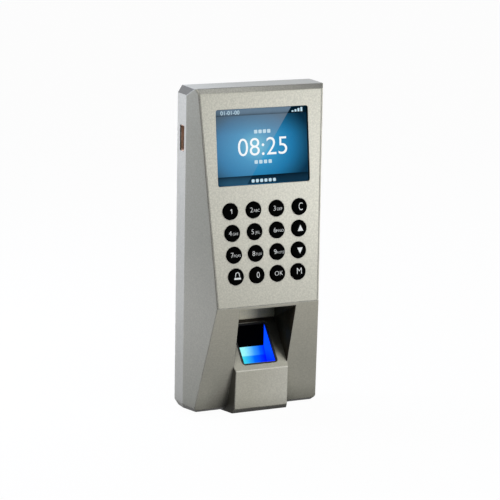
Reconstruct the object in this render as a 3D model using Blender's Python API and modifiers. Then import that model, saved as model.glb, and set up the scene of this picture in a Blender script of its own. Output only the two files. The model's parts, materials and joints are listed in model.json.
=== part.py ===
"""Wall-mounted fingerprint scanner terminal with display, sixteen keys and a sloped finger window.

Metres, +Z up. The wall is the plane y = 0 and the front faces -Y. The origin is the middle of
the wall face. Shapes are first laid out as (x, depth, height): depth counts forward from the
wall, height up from the base.
"""

import math

import bmesh
import bpy
from mathutils import Vector

MM = 0.001

# Body
WIDTH = 86.4 * MM
HEIGHT = 190.4 * MM
SIDE_DEPTH = 12.45 * MM
FACET_RUN = 2.1514
TOP_DEPTH = 20.35 * MM
PANEL_RISE = 0.1231
FOOT_DEPTH = 20.19 * MM
FOOT_RISE = 0.2388
RIDGE_HEIGHT = 65.25 * MM
RIM_DEPTH = 0.15 * MM
WALL = 2.0 * MM
BASE_WALL = 3.0 * MM
CORNER_X = 2.6 * MM
CORNER_Z = 4.1 * MM
TOE_CORNER = (38.6 * MM, 20.6 * MM, 2.0 * MM)
TOE_FACING = (1.0, 0.3, -1.0)
STRIP_EDGE = 18.73 * MM
STRIP_FACING = (0, 2.73, 1.96)
FOOT_CHAMFER = 1.8 * MM
FOOT_FACING = (0, 1.8, -2.23)
EDGE_ROUND = 0.45 * MM

# Front panel
PANEL_THICK = 2.0 * MM
PANEL_INSET = 0.9 * MM
SEAT_INSET = 0.6 * MM
SUPPORT_BACK = 4.1 * MM
PANEL_CORNER = (38.4 * MM, 189.2 * MM)
PANEL_TILT = -math.atan(PANEL_RISE)

# Display and keys, measured along the panel from the middle of the key field
KEY_FIELD_HEIGHT = 101.88 * MM
KEY_FIELD_X = -0.2 * MM
ROW_PITCH = 12.587 * MM
COLUMN_PITCH = 14.589 * MM
COLUMN_TAPER = 0.098
KEY_HOLE_RADIUS = 4.95 * MM
STEM_HOLE_RADIUS = 2.5 * MM
SCREEN_Z = 55.19 * MM
SCREEN_SIZE = (57.6 * MM, 43.2 * MM)
KEY_NAMES = (
    ("key_1", "key_2", "key_3", "key_clear"),
    ("key_4", "key_5", "key_6", "key_up"),
    ("key_7", "key_8", "key_9", "key_down"),
    ("key_bell", "key_0", "key_ok", "key_menu"),
)

# Finger recess, pedestal and platform
PEDESTAL_FRONT = 29.05 * MM
PEDESTAL_RIDGE = 25.2 * MM
PEDESTAL_TOE = (28.3 * MM, 1.86 * MM)
PEDESTAL_HEEL = (26.2 * MM, -0.9 * MM)
PEDESTAL_ROOT = 12.0 * MM
PEDESTAL_HALF = 16.8 * MM
PEDESTAL_DRAFT = 0.29
PLATFORM_RISE = 1.1105
PLATFORM_TILT = math.atan(PLATFORM_RISE)
RECESS_BACK = 7.0 * MM
RECESS_TOP = 63.6 * MM
RECESS_HALF = 17.2 * MM
RECESS_FLARE = 0.025
RECESS_LOW = 29.0 * MM
WINDOW_DEPTH = 17.6 * MM
WINDOW_SIZE = (21.4 * MM, 25.7 * MM)
PRISM_HALF = 10.0 * MM
PRISM_BACK = 9.3 * MM
PRISM_LOW = 33.7 * MM
PRISM_TOE = (25.9 * MM, 28.5 * MM)
LIT_FACING = (0, -7.6, -4.5)
VIEW_FACING = (0, 3.8, -11.43)

# Pieces between the wall and the front
PLATE_THICK = 1.5 * MM
COVER_BACK = 1.9 * MM
COVER_FRONT = 3.9 * MM
GAP = 0.3 * MM
COVER_SCREWS = ((-36.0, 8.0, 19.0), (36.0, 8.0, 19.0), (-36.0, 182.5, 18.2), (36.0, 182.5, 18.2))
BOARD_SCREWS = ((-30.0, 70.0, 31.5), (30.0, 70.0, 31.5), (-36.0, 172.0, 19.3), (36.0, 172.0, 19.3))
CABLE_HEIGHT = 119.0 * MM
SLOT_SIZE = (12.0 * MM, 6.0 * MM, 15.2 * MM)
SLOT_PLACE = (-44.0 * MM, 7.2 * MM, 160.9 * MM)
PLATE_SIZE = (76.0 * MM, 178.0 * MM)
COVER_HALF = 40.8 * MM

# Layers behind the panel's front face, as (width, height), start and end in millimetres
SCREEN_WINDOW = ((57.6, 43.2), 0.3, 1.8)
LCD_GLASS = ((60.0, 47.0), 2.3, 3.8)
LCD_FRAME = ((64.0, 51.0), 4.4, 6.4)
KEYPAD_MAT = ((62.0, 54.5), 4.4, 5.2)
DOME_SHEET = ((60.0, 53.0), 6.6, 6.9)
KEYPAD_BOARD = ((62.0, 54.5), 7.2, 8.8)

# Boxes as pairs of (x, depth, height) corners in millimetres
MAIN_BOARD = ((-39.4, 10.8, 66.6), (39.4, 12.4, 176.5))
USB_SOCKET = ((-40.9, 4.4, 154.0), (-26.9, 10.4, 167.8))
USB_MOUTH = ((-45.0, 4.9, 154.5), (-28.4, 9.9, 167.3))
USB_TONGUE = ((-38.0, 6.4, 155.4), (-28.7, 8.4, 166.4))
PROCESSOR_SHIELD = ((-15.0, 12.7, 143.0), (17.0, 15.6, 171.0))
BATTERY_HOLDER = ((0.0, 12.7, 83.0), (24.0, 17.5, 107.0))
TAMPER_SWITCH = ((24.5, 5.2, 84.0), (31.5, 10.5, 92.0))
CARRIER_HOLLOW = ((-11.5, 0.0, 9.5), (11.5, 40.0, 70.0))
COVER_SLOTS = (
    ((-24.5, 0.0, 169.2), (-15.5, 9.0, 175.4)),
    ((15.5, 0.0, 169.2), (24.5, 9.0, 175.4)),
    ((-8.5, 0.0, -2.0), (8.5, 9.0, 9.0)),
    ((11.0, 0.0, 145.2), (25.0, 9.0, 146.8)),
    ((11.0, 0.0, 149.2), (25.0, 9.0, 150.8)),
    ((11.0, 0.0, 153.2), (25.0, 9.0, 154.8)),
)
PLATE_HOOKS = (
    ((-24.0, 0.6, 169.8), (-16.0, 5.6, 171.4)),
    ((16.0, 0.6, 169.8), (24.0, 5.6, 171.4)),
    ((-7.0, 0.6, 4.2), (7.0, 9.6, 5.7)),
)
HOOK_LIPS = (((-24.0, 4.6, 170.6), (-16.0, 5.6, 174.6)), ((16.0, 4.6, 170.6), (24.0, 5.6, 174.6)))
TAB_ROOT = ((-7.0, 0.2, 4.2), (7.0, 1.5, 8.0))

# Connectors as name, middle and width in millimetres, with their depth and height from start to end
CONNECTORS = (
    ("power_connector", -13.0, 11.0),
    ("lock_connector", 0.0, 9.0),
    ("network_connector", 13.0, 12.0),
)
CONNECTOR_DEPTH = (4.6, 10.5)
CONNECTOR_HEIGHT = (114.5, 123.5)
CONNECTOR_WALL = 0.8
CONNECTOR_MOUTH = (3.0, 9.3)

# Rods along the depth as (x, height, radius, start, end) in millimetres
CELL_POCKET = (12.0, 95.0, 10.4, 13.7, 20.0)
COIN_CELL = (12.0, 95.0, 10.0, 14.0, 17.2)
SPEAKER = (18.0, 150.0, 13.0, 4.3, 9.8)
TAMPER_BORE = (28.0, 88.0, 1.6, 4.0, 9.4)
PLUNGER_BORE = (28.0, 88.0, 1.7, 0.0, 8.0)
ANCHOR_HOLES = [(x, z, 2.2, -2.0, 4.0) for x in (-26.0, 26.0) for z in (30.0, 75.0, 150.0)]

# Rods along the height as (x, depth, radius, start, end) in millimetres
BASE_BORE = (0.0, 6.2, 1.6, -1.0, 4.0)
BASE_COUNTERBORE = (0.0, 6.2, 3.1, -1.0, 1.8)
TAB_BORE = (0.0, 6.2, 1.6, 3.0, 7.0)

# Turned profiles as (radius, along) points in millimetres
KEY_PROFILE = (
    (0.0, -1.2),
    (4.3, -1.2),
    (4.65, -0.85),
    (4.65, 2.3),
    (5.6, 2.3),
    (5.6, 3.1),
    (2.0, 3.1),
    (2.0, 5.5),
    (0.0, 5.5),
)
LENS_PROFILE = ((0.0, -2.2), (4.0, -2.2), (4.0, 2.2), (0.0, 2.2))
PLUNGER_PROFILE = ((0.0, -3.0), (1.25, -3.0), (1.25, 3.0), (0.0, 3.0))
COVER_SCREW_PROFILE = ((0.0, 0.0), (2.5, 0.0), (2.5, 1.0), (1.2, 1.0), (1.2, 8.0), (0.0, 8.0))
BOARD_SCREW_PROFILE = ((0.0, 0.0), (2.5, 0.0), (2.5, 1.6), (1.2, 1.6), (1.2, 7.5), (0.0, 7.5))
SECURITY_PROFILE = ((0.0, 0.0), (2.6, 0.0), (2.6, 1.3), (1.2, 1.3), (1.2, 6.9), (0.0, 6.9))

# Flat cables as (depth, height) points in millimetres
LCD_FLEX_PATH = (
    (20.0, 138.0),
    (19.6, 133.0),
    (17.5, 130.2),
    (14.5, 130.2),
    (13.0, 133.0),
    (13.0, 140.0),
)
RIBBON_PATH = (
    (16.0, 15.5),
    (6.0, 15.5),
    (4.45, 20.0),
    (4.45, 68.0),
    (7.5, 73.0),
    (10.2, 74.0),
    (10.2, 79.0),
)

for old in list(bpy.data.objects):
    bpy.data.objects.remove(old, do_unlink=True)

parts = bpy.data.collections.new("fingerprint_scanner_terminal")
cutters = bpy.data.collections.new("cutters")
bpy.context.scene.collection.children.link(parts)
bpy.context.scene.collection.children.link(cutters)

PAINT = ((0.62, 0.61, 0.56), 0.35, 0.42)
PANEL_PAINT = ((0.72, 0.71, 0.66), 0.35, 0.38)
BLACK = ((0.012, 0.012, 0.014), 0.0, 0.3)
RUBBER = ((0.02, 0.02, 0.02), 0.0, 0.8)
BOARD = ((0.02, 0.16, 0.07), 0.0, 0.5)
STEEL = ((0.55, 0.55, 0.56), 1.0, 0.35)
WHITE = ((0.8, 0.8, 0.76), 0.0, 0.5)
CABLE = ((0.45, 0.22, 0.06), 0.0, 0.45)
BLUE = ((0.05, 0.45, 0.9), 0.0, 0.1)


def place(x, depth, height):
    """A world point from distance to the right, forward from the wall and up from the base."""
    return Vector((x, -depth, height - HEIGHT / 2))


def turned(normal):
    return Vector((normal[0], -normal[1], normal[2])).normalized()


def add(name, bm, look=None, location=(0, 0, 0), tilt=0.0, parent=None):
    """Make one object from a bmesh. Without a look it is a cutter."""
    bmesh.ops.recalc_face_normals(bm, faces=bm.faces[:])
    mesh = bpy.data.meshes.new(name)
    bm.to_mesh(mesh)
    bm.free()
    item = bpy.data.objects.new(name, mesh)
    item.location = location
    item.rotation_euler = (tilt, 0.0, 0.0)
    item.parent = parent
    if look is None:
        cutters.objects.link(item)
        item.hide_render = True
        item.display_type = "WIRE"
        return item
    parts.objects.link(item)
    colour, metal, rough = look
    paint = bpy.data.materials.new(name)
    paint.use_nodes = True
    shader = paint.node_tree.nodes["Principled BSDF"]
    shader.inputs["Base Color"].default_value = (*colour, 1.0)
    shader.inputs["Metallic"].default_value = metal
    shader.inputs["Roughness"].default_value = rough
    mesh.materials.append(paint)
    return item


def combine(target, tool, operation):
    step = target.modifiers.new(tool.name, "BOOLEAN")
    step.operation = operation
    step.solver = "EXACT"
    step.object = tool


def cut(target, *tools):
    for tool in tools:
        combine(target, tool, "DIFFERENCE")


def join(target, *tools):
    for tool in tools:
        combine(target, tool, "UNION")


def cuboid(bm, low, high):
    """Add a box between two corners given in the mesh's own axes."""
    made = bmesh.ops.create_cube(bm, size=1.0)["verts"]
    for vert in made:
        vert.co = Vector([lo + (c + 0.5) * (hi - lo) for lo, hi, c in zip(low, high, vert.co)])
    return made


def boxes(*corners):
    """Boxes from (x, depth, height) corner pairs in millimetres, as one bmesh."""
    bm = bmesh.new()
    for low, high in corners:
        a = place(*[v * MM for v in low])
        b = place(*[v * MM for v in high])
        cuboid(bm, [min(p) for p in zip(a, b)], [max(p) for p in zip(a, b)])
    return bm


def rounded(size, radius, axis, start=None, end=None, segments=4):
    """A box whose four edges along one axis are rounded, centred across that axis."""
    bm = bmesh.new()
    low = [-s / 2 for s in size]
    high = [s / 2 for s in size]
    if start is not None:
        low[axis] = start
        high[axis] = end
    cuboid(bm, low, high)
    along = []
    for edge in bm.edges:
        way = edge.verts[1].co - edge.verts[0].co
        if abs(way[axis]) > 0.5 * way.length:
            along.append(edge)
    bmesh.ops.bevel(bm, geom=along, offset=radius, segments=segments, profile=0.5, affect="EDGES")
    return bm


def carved(low, high, planes, round_by=0.0):
    """A box in (x, depth, height) cut by planes. Each plane keeps the side its normal points away from."""
    a = place(*low)
    b = place(*high)
    bm = bmesh.new()
    cuboid(bm, [min(p) for p in zip(a, b)], [max(p) for p in zip(a, b)])
    for point, normal in planes:
        whole = bm.verts[:] + bm.edges[:] + bm.faces[:]
        bmesh.ops.bisect_plane(
            bm, geom=whole, plane_co=place(*point), plane_no=turned(normal), clear_outer=True, dist=1e-8
        )
        rim = [edge for edge in bm.edges if edge.is_boundary]
        if rim:
            bmesh.ops.holes_fill(bm, edges=rim)
    bmesh.ops.recalc_face_normals(bm, faces=bm.faces[:])
    if round_by:
        shape = {"offset": round_by, "segments": 2, "profile": 0.5, "affect": "EDGES"}
        bmesh.ops.bevel(bm, geom=bm.edges[:], clamp_overlap=True, **shape)
        bmesh.ops.remove_doubles(bm, verts=bm.verts[:], dist=0.02 * MM)
        bmesh.ops.dissolve_degenerate(bm, edges=bm.edges[:], dist=0.002 * MM)
    return bm


def rods(axis, segments, *items):
    """Cylinders along the depth or the height, from (x, other, radius, start, end) in millimetres.

    The other coordinate is the height of a rod along the depth, and the depth of a rod along the height.
    """
    bm = bmesh.new()
    for x, other, radius, start, end in items:
        size = {"radius1": radius * MM, "radius2": radius * MM, "depth": (end - start) * MM}
        made = bmesh.ops.create_cone(bm, cap_ends=True, segments=segments, **size)["verts"]
        middle = (start + end) / 2
        for vert in made:
            u, v, w = vert.co
            if axis == "depth":
                vert.co = place(x * MM, middle * MM, other * MM) + Vector((u, w, -v))
            else:
                vert.co = place(x * MM, other * MM, middle * MM) + Vector((u, v, w))
    bmesh.ops.recalc_face_normals(bm, faces=bm.faces[:])
    return bm


def turning(name, profile, look, steps, location=(0, 0, 0), parent=None):
    """A body turned about its own Y axis from (radius, along) points in millimetres."""
    bm = bmesh.new()
    points = [bm.verts.new((r * MM, y * MM, 0.0)) for r, y in profile]
    for first, second in zip(points, points[1:]):
        bm.edges.new((first, second))
    item = add(name, bm, look, location=location, parent=parent)
    screw = item.modifiers.new("turn", "SCREW")
    screw.axis = "Y"
    screw.steps = steps
    screw.render_steps = steps
    screw.use_merge_vertices = True
    screw.merge_threshold = 0.00001
    screw.use_normal_flip = True
    return item


def strip(name, path, width, x, look, thick=0.3):
    """A flat cable that follows (depth, height) points, in millimetres."""
    bm = bmesh.new()
    line = [bm.verts.new(place((x - width / 2) * MM, d * MM, h * MM)) for d, h in path]
    edges = [bm.edges.new(pair) for pair in zip(line, line[1:])]
    grown = bmesh.ops.extrude_edge_only(bm, edges=edges)["geom"]
    moved = [g for g in grown if isinstance(g, bmesh.types.BMVert)]
    bmesh.ops.translate(bm, verts=moved, vec=(width * MM, 0, 0))
    item = add(name, bm, look)
    solid = item.modifiers.new("thickness", "SOLIDIFY")
    solid.thickness = thick * MM
    solid.offset = 0.0
    return item


def body_planes(inset, front_inset, foot_inset, base):
    """The planes of the faceted body, moved inwards."""
    half = WIDTH / 2
    planes = []
    lean = math.hypot(1.0, PANEL_RISE)
    foot = math.hypot(1.0, FOOT_RISE)
    planes.append(((0, TOP_DEPTH - front_inset * lean, HEIGHT), (0, 1, PANEL_RISE)))
    planes.append(((0, FOOT_DEPTH - foot_inset * foot, 0), (0, 1, -FOOT_RISE)))
    facet = inset * math.hypot(1.0, 1.0 / FACET_RUN)
    corner = inset * math.hypot(CORNER_X, CORNER_Z) / CORNER_Z
    for side in (-1, 1):
        planes.append(((side * (half - facet), SIDE_DEPTH, 0), (side, 1.0 / FACET_RUN, 0)))
        for end, level in ((1, HEIGHT), (-1, base)):
            start = (side * (half - CORNER_X - corner), 0, level if end > 0 else 0)
            planes.append((start, (side * CORNER_Z, 0, end * CORNER_X)))
    return planes


def panel_planes(inset, back):
    """The planes of the front panel or of its seat in the housing."""
    lean = math.hypot(1.0, PANEL_RISE)
    top_half = WIDTH / 2 - (TOP_DEPTH - SIDE_DEPTH) / FACET_RUN
    taper = PANEL_RISE / FACET_RUN
    planes = [((0, TOP_DEPTH - back * lean, HEIGHT), (0, -1, -PANEL_RISE))]
    for side in (-1, 1):
        planes.append(((side * (top_half - inset), 0, HEIGHT), (side, 0, -taper)))
    return planes


def platform_planes(offset):
    """The sloped platform, moved along its outward normal, keeping what lies under it."""
    rise = offset * math.hypot(1.0, PLATFORM_RISE)
    return [((0, PEDESTAL_FRONT, PEDESTAL_RIDGE + rise), (0, PLATFORM_RISE, 1))]


def pedestal_planes(inset):
    """The planes of the pedestal under the platform, moved inwards."""
    side_shift = inset * math.hypot(1.0, PEDESTAL_DRAFT)
    toe, toe_height = PEDESTAL_TOE
    heel, heel_height = PEDESTAL_HEEL
    front_facing = (0, PEDESTAL_RIDGE - toe_height, toe - PEDESTAL_FRONT)
    chamfer_facing = (0, toe_height - heel_height, heel - toe)
    planes = platform_planes(-inset / 2)
    planes.append(((0, toe - inset, toe_height), front_facing))
    planes.append(((0, heel - inset, heel_height + inset), chamfer_facing))
    for side in (-1, 1):
        planes.append(((side * (PEDESTAL_HALF - side_shift), PEDESTAL_FRONT, 0), (side, PEDESTAL_DRAFT, 0)))
    return planes


def recess_planes(grow):
    """The finger recess, or the block that leaves its walls standing when grown."""
    rise = grow * math.hypot(1.0, PLATFORM_RISE)
    planes = [((0, PEDESTAL_FRONT, PEDESTAL_RIDGE - rise), (0, -PLATFORM_RISE, -1))]
    for side in (-1, 1):
        planes.append(((side * (RECESS_HALF + grow), 0, RECESS_LOW), (side, 0, -RECESS_FLARE)))
    return planes


half = WIDTH / 2

# Empties that carry the tilted groups
panel_origin = place(0, TOP_DEPTH + PANEL_RISE * (HEIGHT - KEY_FIELD_HEIGHT), KEY_FIELD_HEIGHT)
panel_frame = bpy.data.objects.new("panel_frame", None)
panel_frame.location = panel_origin
panel_frame.rotation_euler = (PANEL_TILT, 0.0, 0.0)
parts.objects.link(panel_frame)

window_height = PEDESTAL_RIDGE + (PEDESTAL_FRONT - WINDOW_DEPTH) * PLATFORM_RISE
window_frame = bpy.data.objects.new("window_frame", None)
window_frame.location = place(0, WINDOW_DEPTH, window_height)
window_frame.rotation_euler = (PLATFORM_TILT, 0.0, 0.0)
parts.objects.link(window_frame)

# Cutters for the housing
strip_plane = ((0, STRIP_EDGE, HEIGHT), STRIP_FACING)
foot_chamfer = ((0, FOOT_DEPTH - FOOT_CHAMFER, 0), FOOT_FACING)
toe_corners = []
for side in (-1, 1):
    corner = (side * TOE_CORNER[0], TOE_CORNER[1], TOE_CORNER[2])
    toe_corners.append((corner, (side * TOE_FACING[0], TOE_FACING[1], TOE_FACING[2])))
pedestal = add(
    "pedestal_block",
    carved(
        (-half, PEDESTAL_ROOT, PEDESTAL_HEEL[1]), (half, 60 * MM, 70 * MM), pedestal_planes(0.0), 0.35 * MM
    ),
)
pedestal_core = add(
    "pedestal_core", carved((-half, 5 * MM, BASE_WALL), (half, 60 * MM, 70 * MM), pedestal_planes(WALL))
)
recess = add(
    "recess_block",
    carved((-half, RECESS_BACK, 0), (half, 60 * MM, RECESS_TOP), recess_planes(0.0)),
)
recess_walls = add(
    "recess_walls",
    carved((-half, RECESS_BACK - WALL, 0), (half, 60 * MM, RECESS_TOP + WALL), recess_planes(WALL)),
)
cavity = add(
    "cavity_block",
    carved(
        (-half + WALL, -5 * MM, BASE_WALL),
        (half - WALL, 60 * MM, HEIGHT - WALL),
        body_planes(WALL, SUPPORT_BACK, 2.2 * MM, 0),
    ),
)
join(cavity, pedestal_core)
cut(cavity, recess_walls)
seat = add(
    "panel_seat",
    carved(
        (-half, 0, RIDGE_HEIGHT - 0.15 * MM),
        (half, 60 * MM, HEIGHT + 5 * MM),
        panel_planes(SEAT_INSET, PANEL_THICK + GAP),
    ),
)
display_hole = add("display_hole", rounded((60.8 * MM, 1, 47.8 * MM), 1.5 * MM, 1, 1.0 * MM, 9 * MM))
display_hole.parent = panel_frame
display_hole.location = (0, 0, SCREEN_Z)
keypad_hole = add("keypad_hole", rounded((57.2 * MM, 1, 50.4 * MM), 4 * MM, 1, 1.0 * MM, 9 * MM))
keypad_hole.parent = panel_frame
side_slot = add("side_slot", rounded(SLOT_SIZE, 1.0 * MM, 0))
side_slot.location = place(*SLOT_PLACE)
window_hole = add(
    "window_hole", rounded((WINDOW_SIZE[0] + 1.6 * MM, WINDOW_SIZE[1] + 1.6 * MM, 9 * MM), 2.2 * MM, 2)
)
window_hole.parent = window_frame
posts = add(
    "posts",
    rods(
        "depth",
        16,
        *[(x, z, 3.5, 4.2, end) for x, z, end in COVER_SCREWS],
        *[(x, z, 3.0, 12.7, end) for x, z, end in BOARD_SCREWS],
    ),
)
post_bores = add(
    "post_bores",
    rods(
        "depth",
        12,
        *[(x, z, 1.5, 3.0, 12.0) for x, z, end in COVER_SCREWS],
        *[(x, z, 1.5, 12.0, 17.0) for x, z, end in BOARD_SCREWS],
    ),
)
base_bore = add("base_bore", rods("height", 16, BASE_BORE))
base_counterbore = add("base_counterbore", rods("height", 20, BASE_COUNTERBORE))

# Housing: shell, pedestal, recess walls and posts in one moulding
housing = add(
    "front_housing",
    carved(
        (-half, RIM_DEPTH, 0),
        (half, 60 * MM, HEIGHT),
        body_planes(0.0, 0.0, 0.0, 0) + [strip_plane, foot_chamfer] + toe_corners,
        EDGE_ROUND,
    ),
    PAINT,
)
join(housing, pedestal)
cut(housing, cavity, recess, seat, display_hole, keypad_hole, side_slot, window_hole)
join(housing, posts)
cut(housing, post_bores, base_bore, base_counterbore)

# Front panel with its display opening and key holes
panel_corners = [((side * PANEL_CORNER[0], 0, PANEL_CORNER[1]), (side, 0, 1)) for side in (-1, 1)]
panel = add(
    "front_panel",
    carved(
        (-half, 0, RIDGE_HEIGHT + 0.15 * MM),
        (half, 60 * MM, HEIGHT - 0.05 * MM),
        panel_planes(PANEL_INSET, PANEL_THICK)
        + [((0, TOP_DEPTH, HEIGHT), (0, 1, PANEL_RISE)), strip_plane]
        + panel_corners,
        0.2 * MM,
    ),
    PANEL_PAINT,
)
lens_size = (SCREEN_SIZE[0] + 2 * GAP, 1, SCREEN_SIZE[1] + 2 * GAP)
lens_hole = add("lens_hole", rounded(lens_size, 1.3 * MM, 1, -5 * MM, 5 * MM))
lens_hole.parent = panel_frame
lens_hole.location = (0, 0, SCREEN_Z)
cut(panel, lens_hole)

key_spots = {}
for row, names in enumerate(KEY_NAMES):
    pitch = COLUMN_PITCH * (1.0 - COLUMN_TAPER * row / 3.0)
    for column, name in enumerate(names):
        key_spots[name] = (KEY_FIELD_X + (column - 1.5) * pitch, 0.0, (1.5 - row) * ROW_PITCH)


def key_drills(name, radius, segments, start, end):
    """One cutter with a rod at every key, in the panel's own axes."""
    bm = bmesh.new()
    for spot in key_spots.values():
        made = bmesh.ops.create_cone(
            bm, cap_ends=True, segments=segments, radius1=radius, radius2=radius, depth=end - start
        )["verts"]
        for vert in made:
            u, v, w = vert.co
            vert.co = Vector(spot) + Vector((u, w + (start + end) / 2, -v))
    item = add(name, bm)
    item.parent = panel_frame
    return item


cut(panel, key_drills("key_holes", KEY_HOLE_RADIUS, 24, -5 * MM, 5 * MM))

# Keys: cap, retaining flange and stem, each free to slide into the panel
for name, spot in key_spots.items():
    turning(name, KEY_PROFILE, BLACK, 24, location=spot, parent=panel_frame)


def sheet(name, size, start, end, look, z=0.0, radius=2.0 * MM):
    """A flat piece parallel to the panel, between two depths behind its front."""
    bm = rounded((size[0] * MM, 1, size[1] * MM), radius, 1, start * MM, end * MM, 3)
    return add(name, bm, look, location=(0, 0, z), parent=panel_frame)


sheet("screen_window", *SCREEN_WINDOW, BLACK, SCREEN_Z, 1.0 * MM)
sheet("lcd_glass", *LCD_GLASS, BLUE, SCREEN_Z, 0.5 * MM)
sheet("lcd_frame", *LCD_FRAME, STEEL, SCREEN_Z, 1.0 * MM)
mat = sheet("keypad_mat", *KEYPAD_MAT, RUBBER)
cut(mat, key_drills("stem_holes", STEM_HOLE_RADIUS, 12, 3 * MM, 6 * MM))
sheet("dome_sheet", *DOME_SHEET, STEEL)
sheet("keypad_pcb", *KEYPAD_BOARD, BOARD)
strip("lcd_flex", LCD_FLEX_PATH, 22, 0, CABLE)

# Finger window: gasket, prism and the optics behind it
gasket = add(
    "platen_gasket",
    rounded(
        (WINDOW_SIZE[0] + 1.0 * MM, WINDOW_SIZE[1] + 1.0 * MM, 1), 1.9 * MM, 2, -2.4 * MM, -0.05 * MM
    ),
    RUBBER,
    parent=window_frame,
)
gasket_hole = add(
    "gasket_hole", rounded((WINDOW_SIZE[0] - 0.4 * MM, WINDOW_SIZE[1] - 0.4 * MM, 9 * MM), 1.0 * MM, 2)
)
gasket_hole.parent = window_frame
cut(gasket, gasket_hole)
add(
    "scanner_prism",
    carved(
        (-PRISM_HALF, PRISM_BACK, 20 * MM),
        (PRISM_HALF, 40 * MM, 60 * MM),
        platform_planes(-GAP) + [((0, PRISM_BACK, PRISM_LOW), LIT_FACING), ((0, *PRISM_TOE), VIEW_FACING)],
    ),
    BLUE,
)


def tilted_box(name, size, depth, height, tilt, look):
    bm = bmesh.new()
    cuboid(bm, [-s / 2 * MM for s in size], [s / 2 * MM for s in size])
    return add(name, bm, look, location=place(0, depth * MM, height * MM), tilt=tilt)


LIT_TILT = math.atan2(-LIT_FACING[1], -LIT_FACING[2])
tilted_box("scanner_light_guide", (19.0, 9.6, 1.5), 10.9, 28.7, LIT_TILT, WHITE)
tilted_box("scanner_led_board", (19.0, 9.6, 1.0), 9.45, 27.85, LIT_TILT, BOARD)
VIEW_TILT = -math.atan2(VIEW_FACING[1], -VIEW_FACING[2])
lens = turning("scanner_lens", LENS_PROFILE, BLACK, 20)
lens.location = place(0, 19.8 * MM, 23.0 * MM)
lens.rotation_euler = (math.pi / 2 + VIEW_TILT, 0.0, 0.0)
tilted_box("scanner_sensor_board", (16.0, 9.0, 1.2), 20.9, 19.7, VIEW_TILT, BOARD)
carrier = add(
    "scanner_carrier",
    carved(
        (-13 * MM, 7 * MM, 8 * MM),
        (13 * MM, 22 * MM, 60 * MM),
        platform_planes(-WALL - GAP),
    ),
    BLACK,
)
carrier_hollow = add("carrier_hollow", boxes(CARRIER_HOLLOW))
cut(carrier, carrier_hollow)
strip("scanner_ribbon", RIBBON_PATH, 9, 4, CABLE)

# Main board and what is fixed to it
board = add("main_pcb", boxes(MAIN_BOARD), BOARD)
board_holes = add("board_holes", rods("depth", 12, *[(x, z, 1.6, 9, 14) for x, z, end in BOARD_SCREWS]))
cut(board, board_holes)
socket = add("usb_socket", boxes(USB_SOCKET), STEEL)
cut(socket, add("usb_mouth", boxes(USB_MOUTH)))
add("usb_tongue", boxes(USB_TONGUE), WHITE)
add("processor_shield", boxes(PROCESSOR_SHIELD), STEEL)
for name, middle, width in CONNECTORS:
    left = middle - width / 2
    right = middle + width / 2
    back, front = CONNECTOR_DEPTH
    low, high = CONNECTOR_HEIGHT
    shell = add(name, boxes(((left, back, low), (right, front, high))), WHITE)
    mouth_low = (left + CONNECTOR_WALL, CONNECTOR_MOUTH[0], low + CONNECTOR_WALL)
    mouth_high = (right - CONNECTOR_WALL, CONNECTOR_MOUTH[1], high - CONNECTOR_WALL)
    cut(shell, add(name + "_mouth", boxes((mouth_low, mouth_high))))
holder = add("battery_holder", boxes(BATTERY_HOLDER), BLACK)
cut(holder, add("cell_pocket", rods("depth", 32, CELL_POCKET)))
add("coin_cell", rods("depth", 32, COIN_CELL), STEEL)
add("speaker", rods("depth", 32, SPEAKER), BLACK)
tamper = add("tamper_switch", boxes(TAMPER_SWITCH), BLACK)
cut(tamper, add("tamper_bore", rods("depth", 16, TAMPER_BORE)))
plunger = turning("tamper_plunger", PLUNGER_PROFILE, WHITE, 16)
plunger.location = place(TAMPER_BORE[0] * MM, 4.8 * MM, TAMPER_BORE[1] * MM)

# Rear cover, grommet and wall plate
cover = add(
    "rear_cover",
    carved(
        (-COVER_HALF, COVER_BACK, BASE_WALL + 0.4 * MM),
        (COVER_HALF, COVER_FRONT, HEIGHT - WALL - 0.4 * MM),
        body_planes(WALL + 0.4 * MM, 0.0, 0.0, 0),
    ),
    BLACK,
)
cable_hole = add("cable_hole", rounded((46 * MM, 20 * MM, 26 * MM), 3 * MM, 1))
cable_hole.location = place(0, 3 * MM, CABLE_HEIGHT)
cover_bores = rods("depth", 16, PLUNGER_BORE, *[(x, z, 1.6, 0, 8) for x, z, end in COVER_SCREWS])
cover_sinks = rods("depth", 20, *[(x, z, 2.9, 0, 3.3) for x, z, end in COVER_SCREWS])
cut(
    cover,
    cable_hole,
    add("cover_slots", boxes(*COVER_SLOTS)),
    add("cover_bores", cover_bores),
    add("cover_sinks", cover_sinks),
)
grommet = add("cable_grommet", rounded((45.4 * MM, 2.2 * MM, 25.4 * MM), 2.8 * MM, 1), RUBBER)
grommet.location = place(0, 2.95 * MM, CABLE_HEIGHT)
grommet_hole = add("grommet_hole", rounded((41.4 * MM, 9 * MM, 21.4 * MM), 2 * MM, 1))
grommet_hole.location = grommet.location
cut(grommet, grommet_hole)

plate = add("wall_plate", rounded((PLATE_SIZE[0], PLATE_THICK, PLATE_SIZE[1]), 4 * MM, 1), STEEL)
plate.location = place(0, PLATE_THICK / 2, HEIGHT / 2)
plate_hole = add("plate_hole", rounded((42 * MM, 9 * MM, 22 * MM), 2 * MM, 1))
plate_hole.location = place(0, 0, CABLE_HEIGHT)
hooks = add("hooks", boxes(*PLATE_HOOKS))
hook_lips = add("hook_lips", boxes(*HOOK_LIPS))
tab_root = add("tab_root", boxes(TAB_ROOT))
join(plate, hooks, hook_lips, tab_root)
anchor_holes = add("anchor_holes", rods("depth", 16, *ANCHOR_HOLES))
cut(plate, plate_hole, anchor_holes, add("tab_hole", rods("height", 16, TAB_BORE)))

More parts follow.
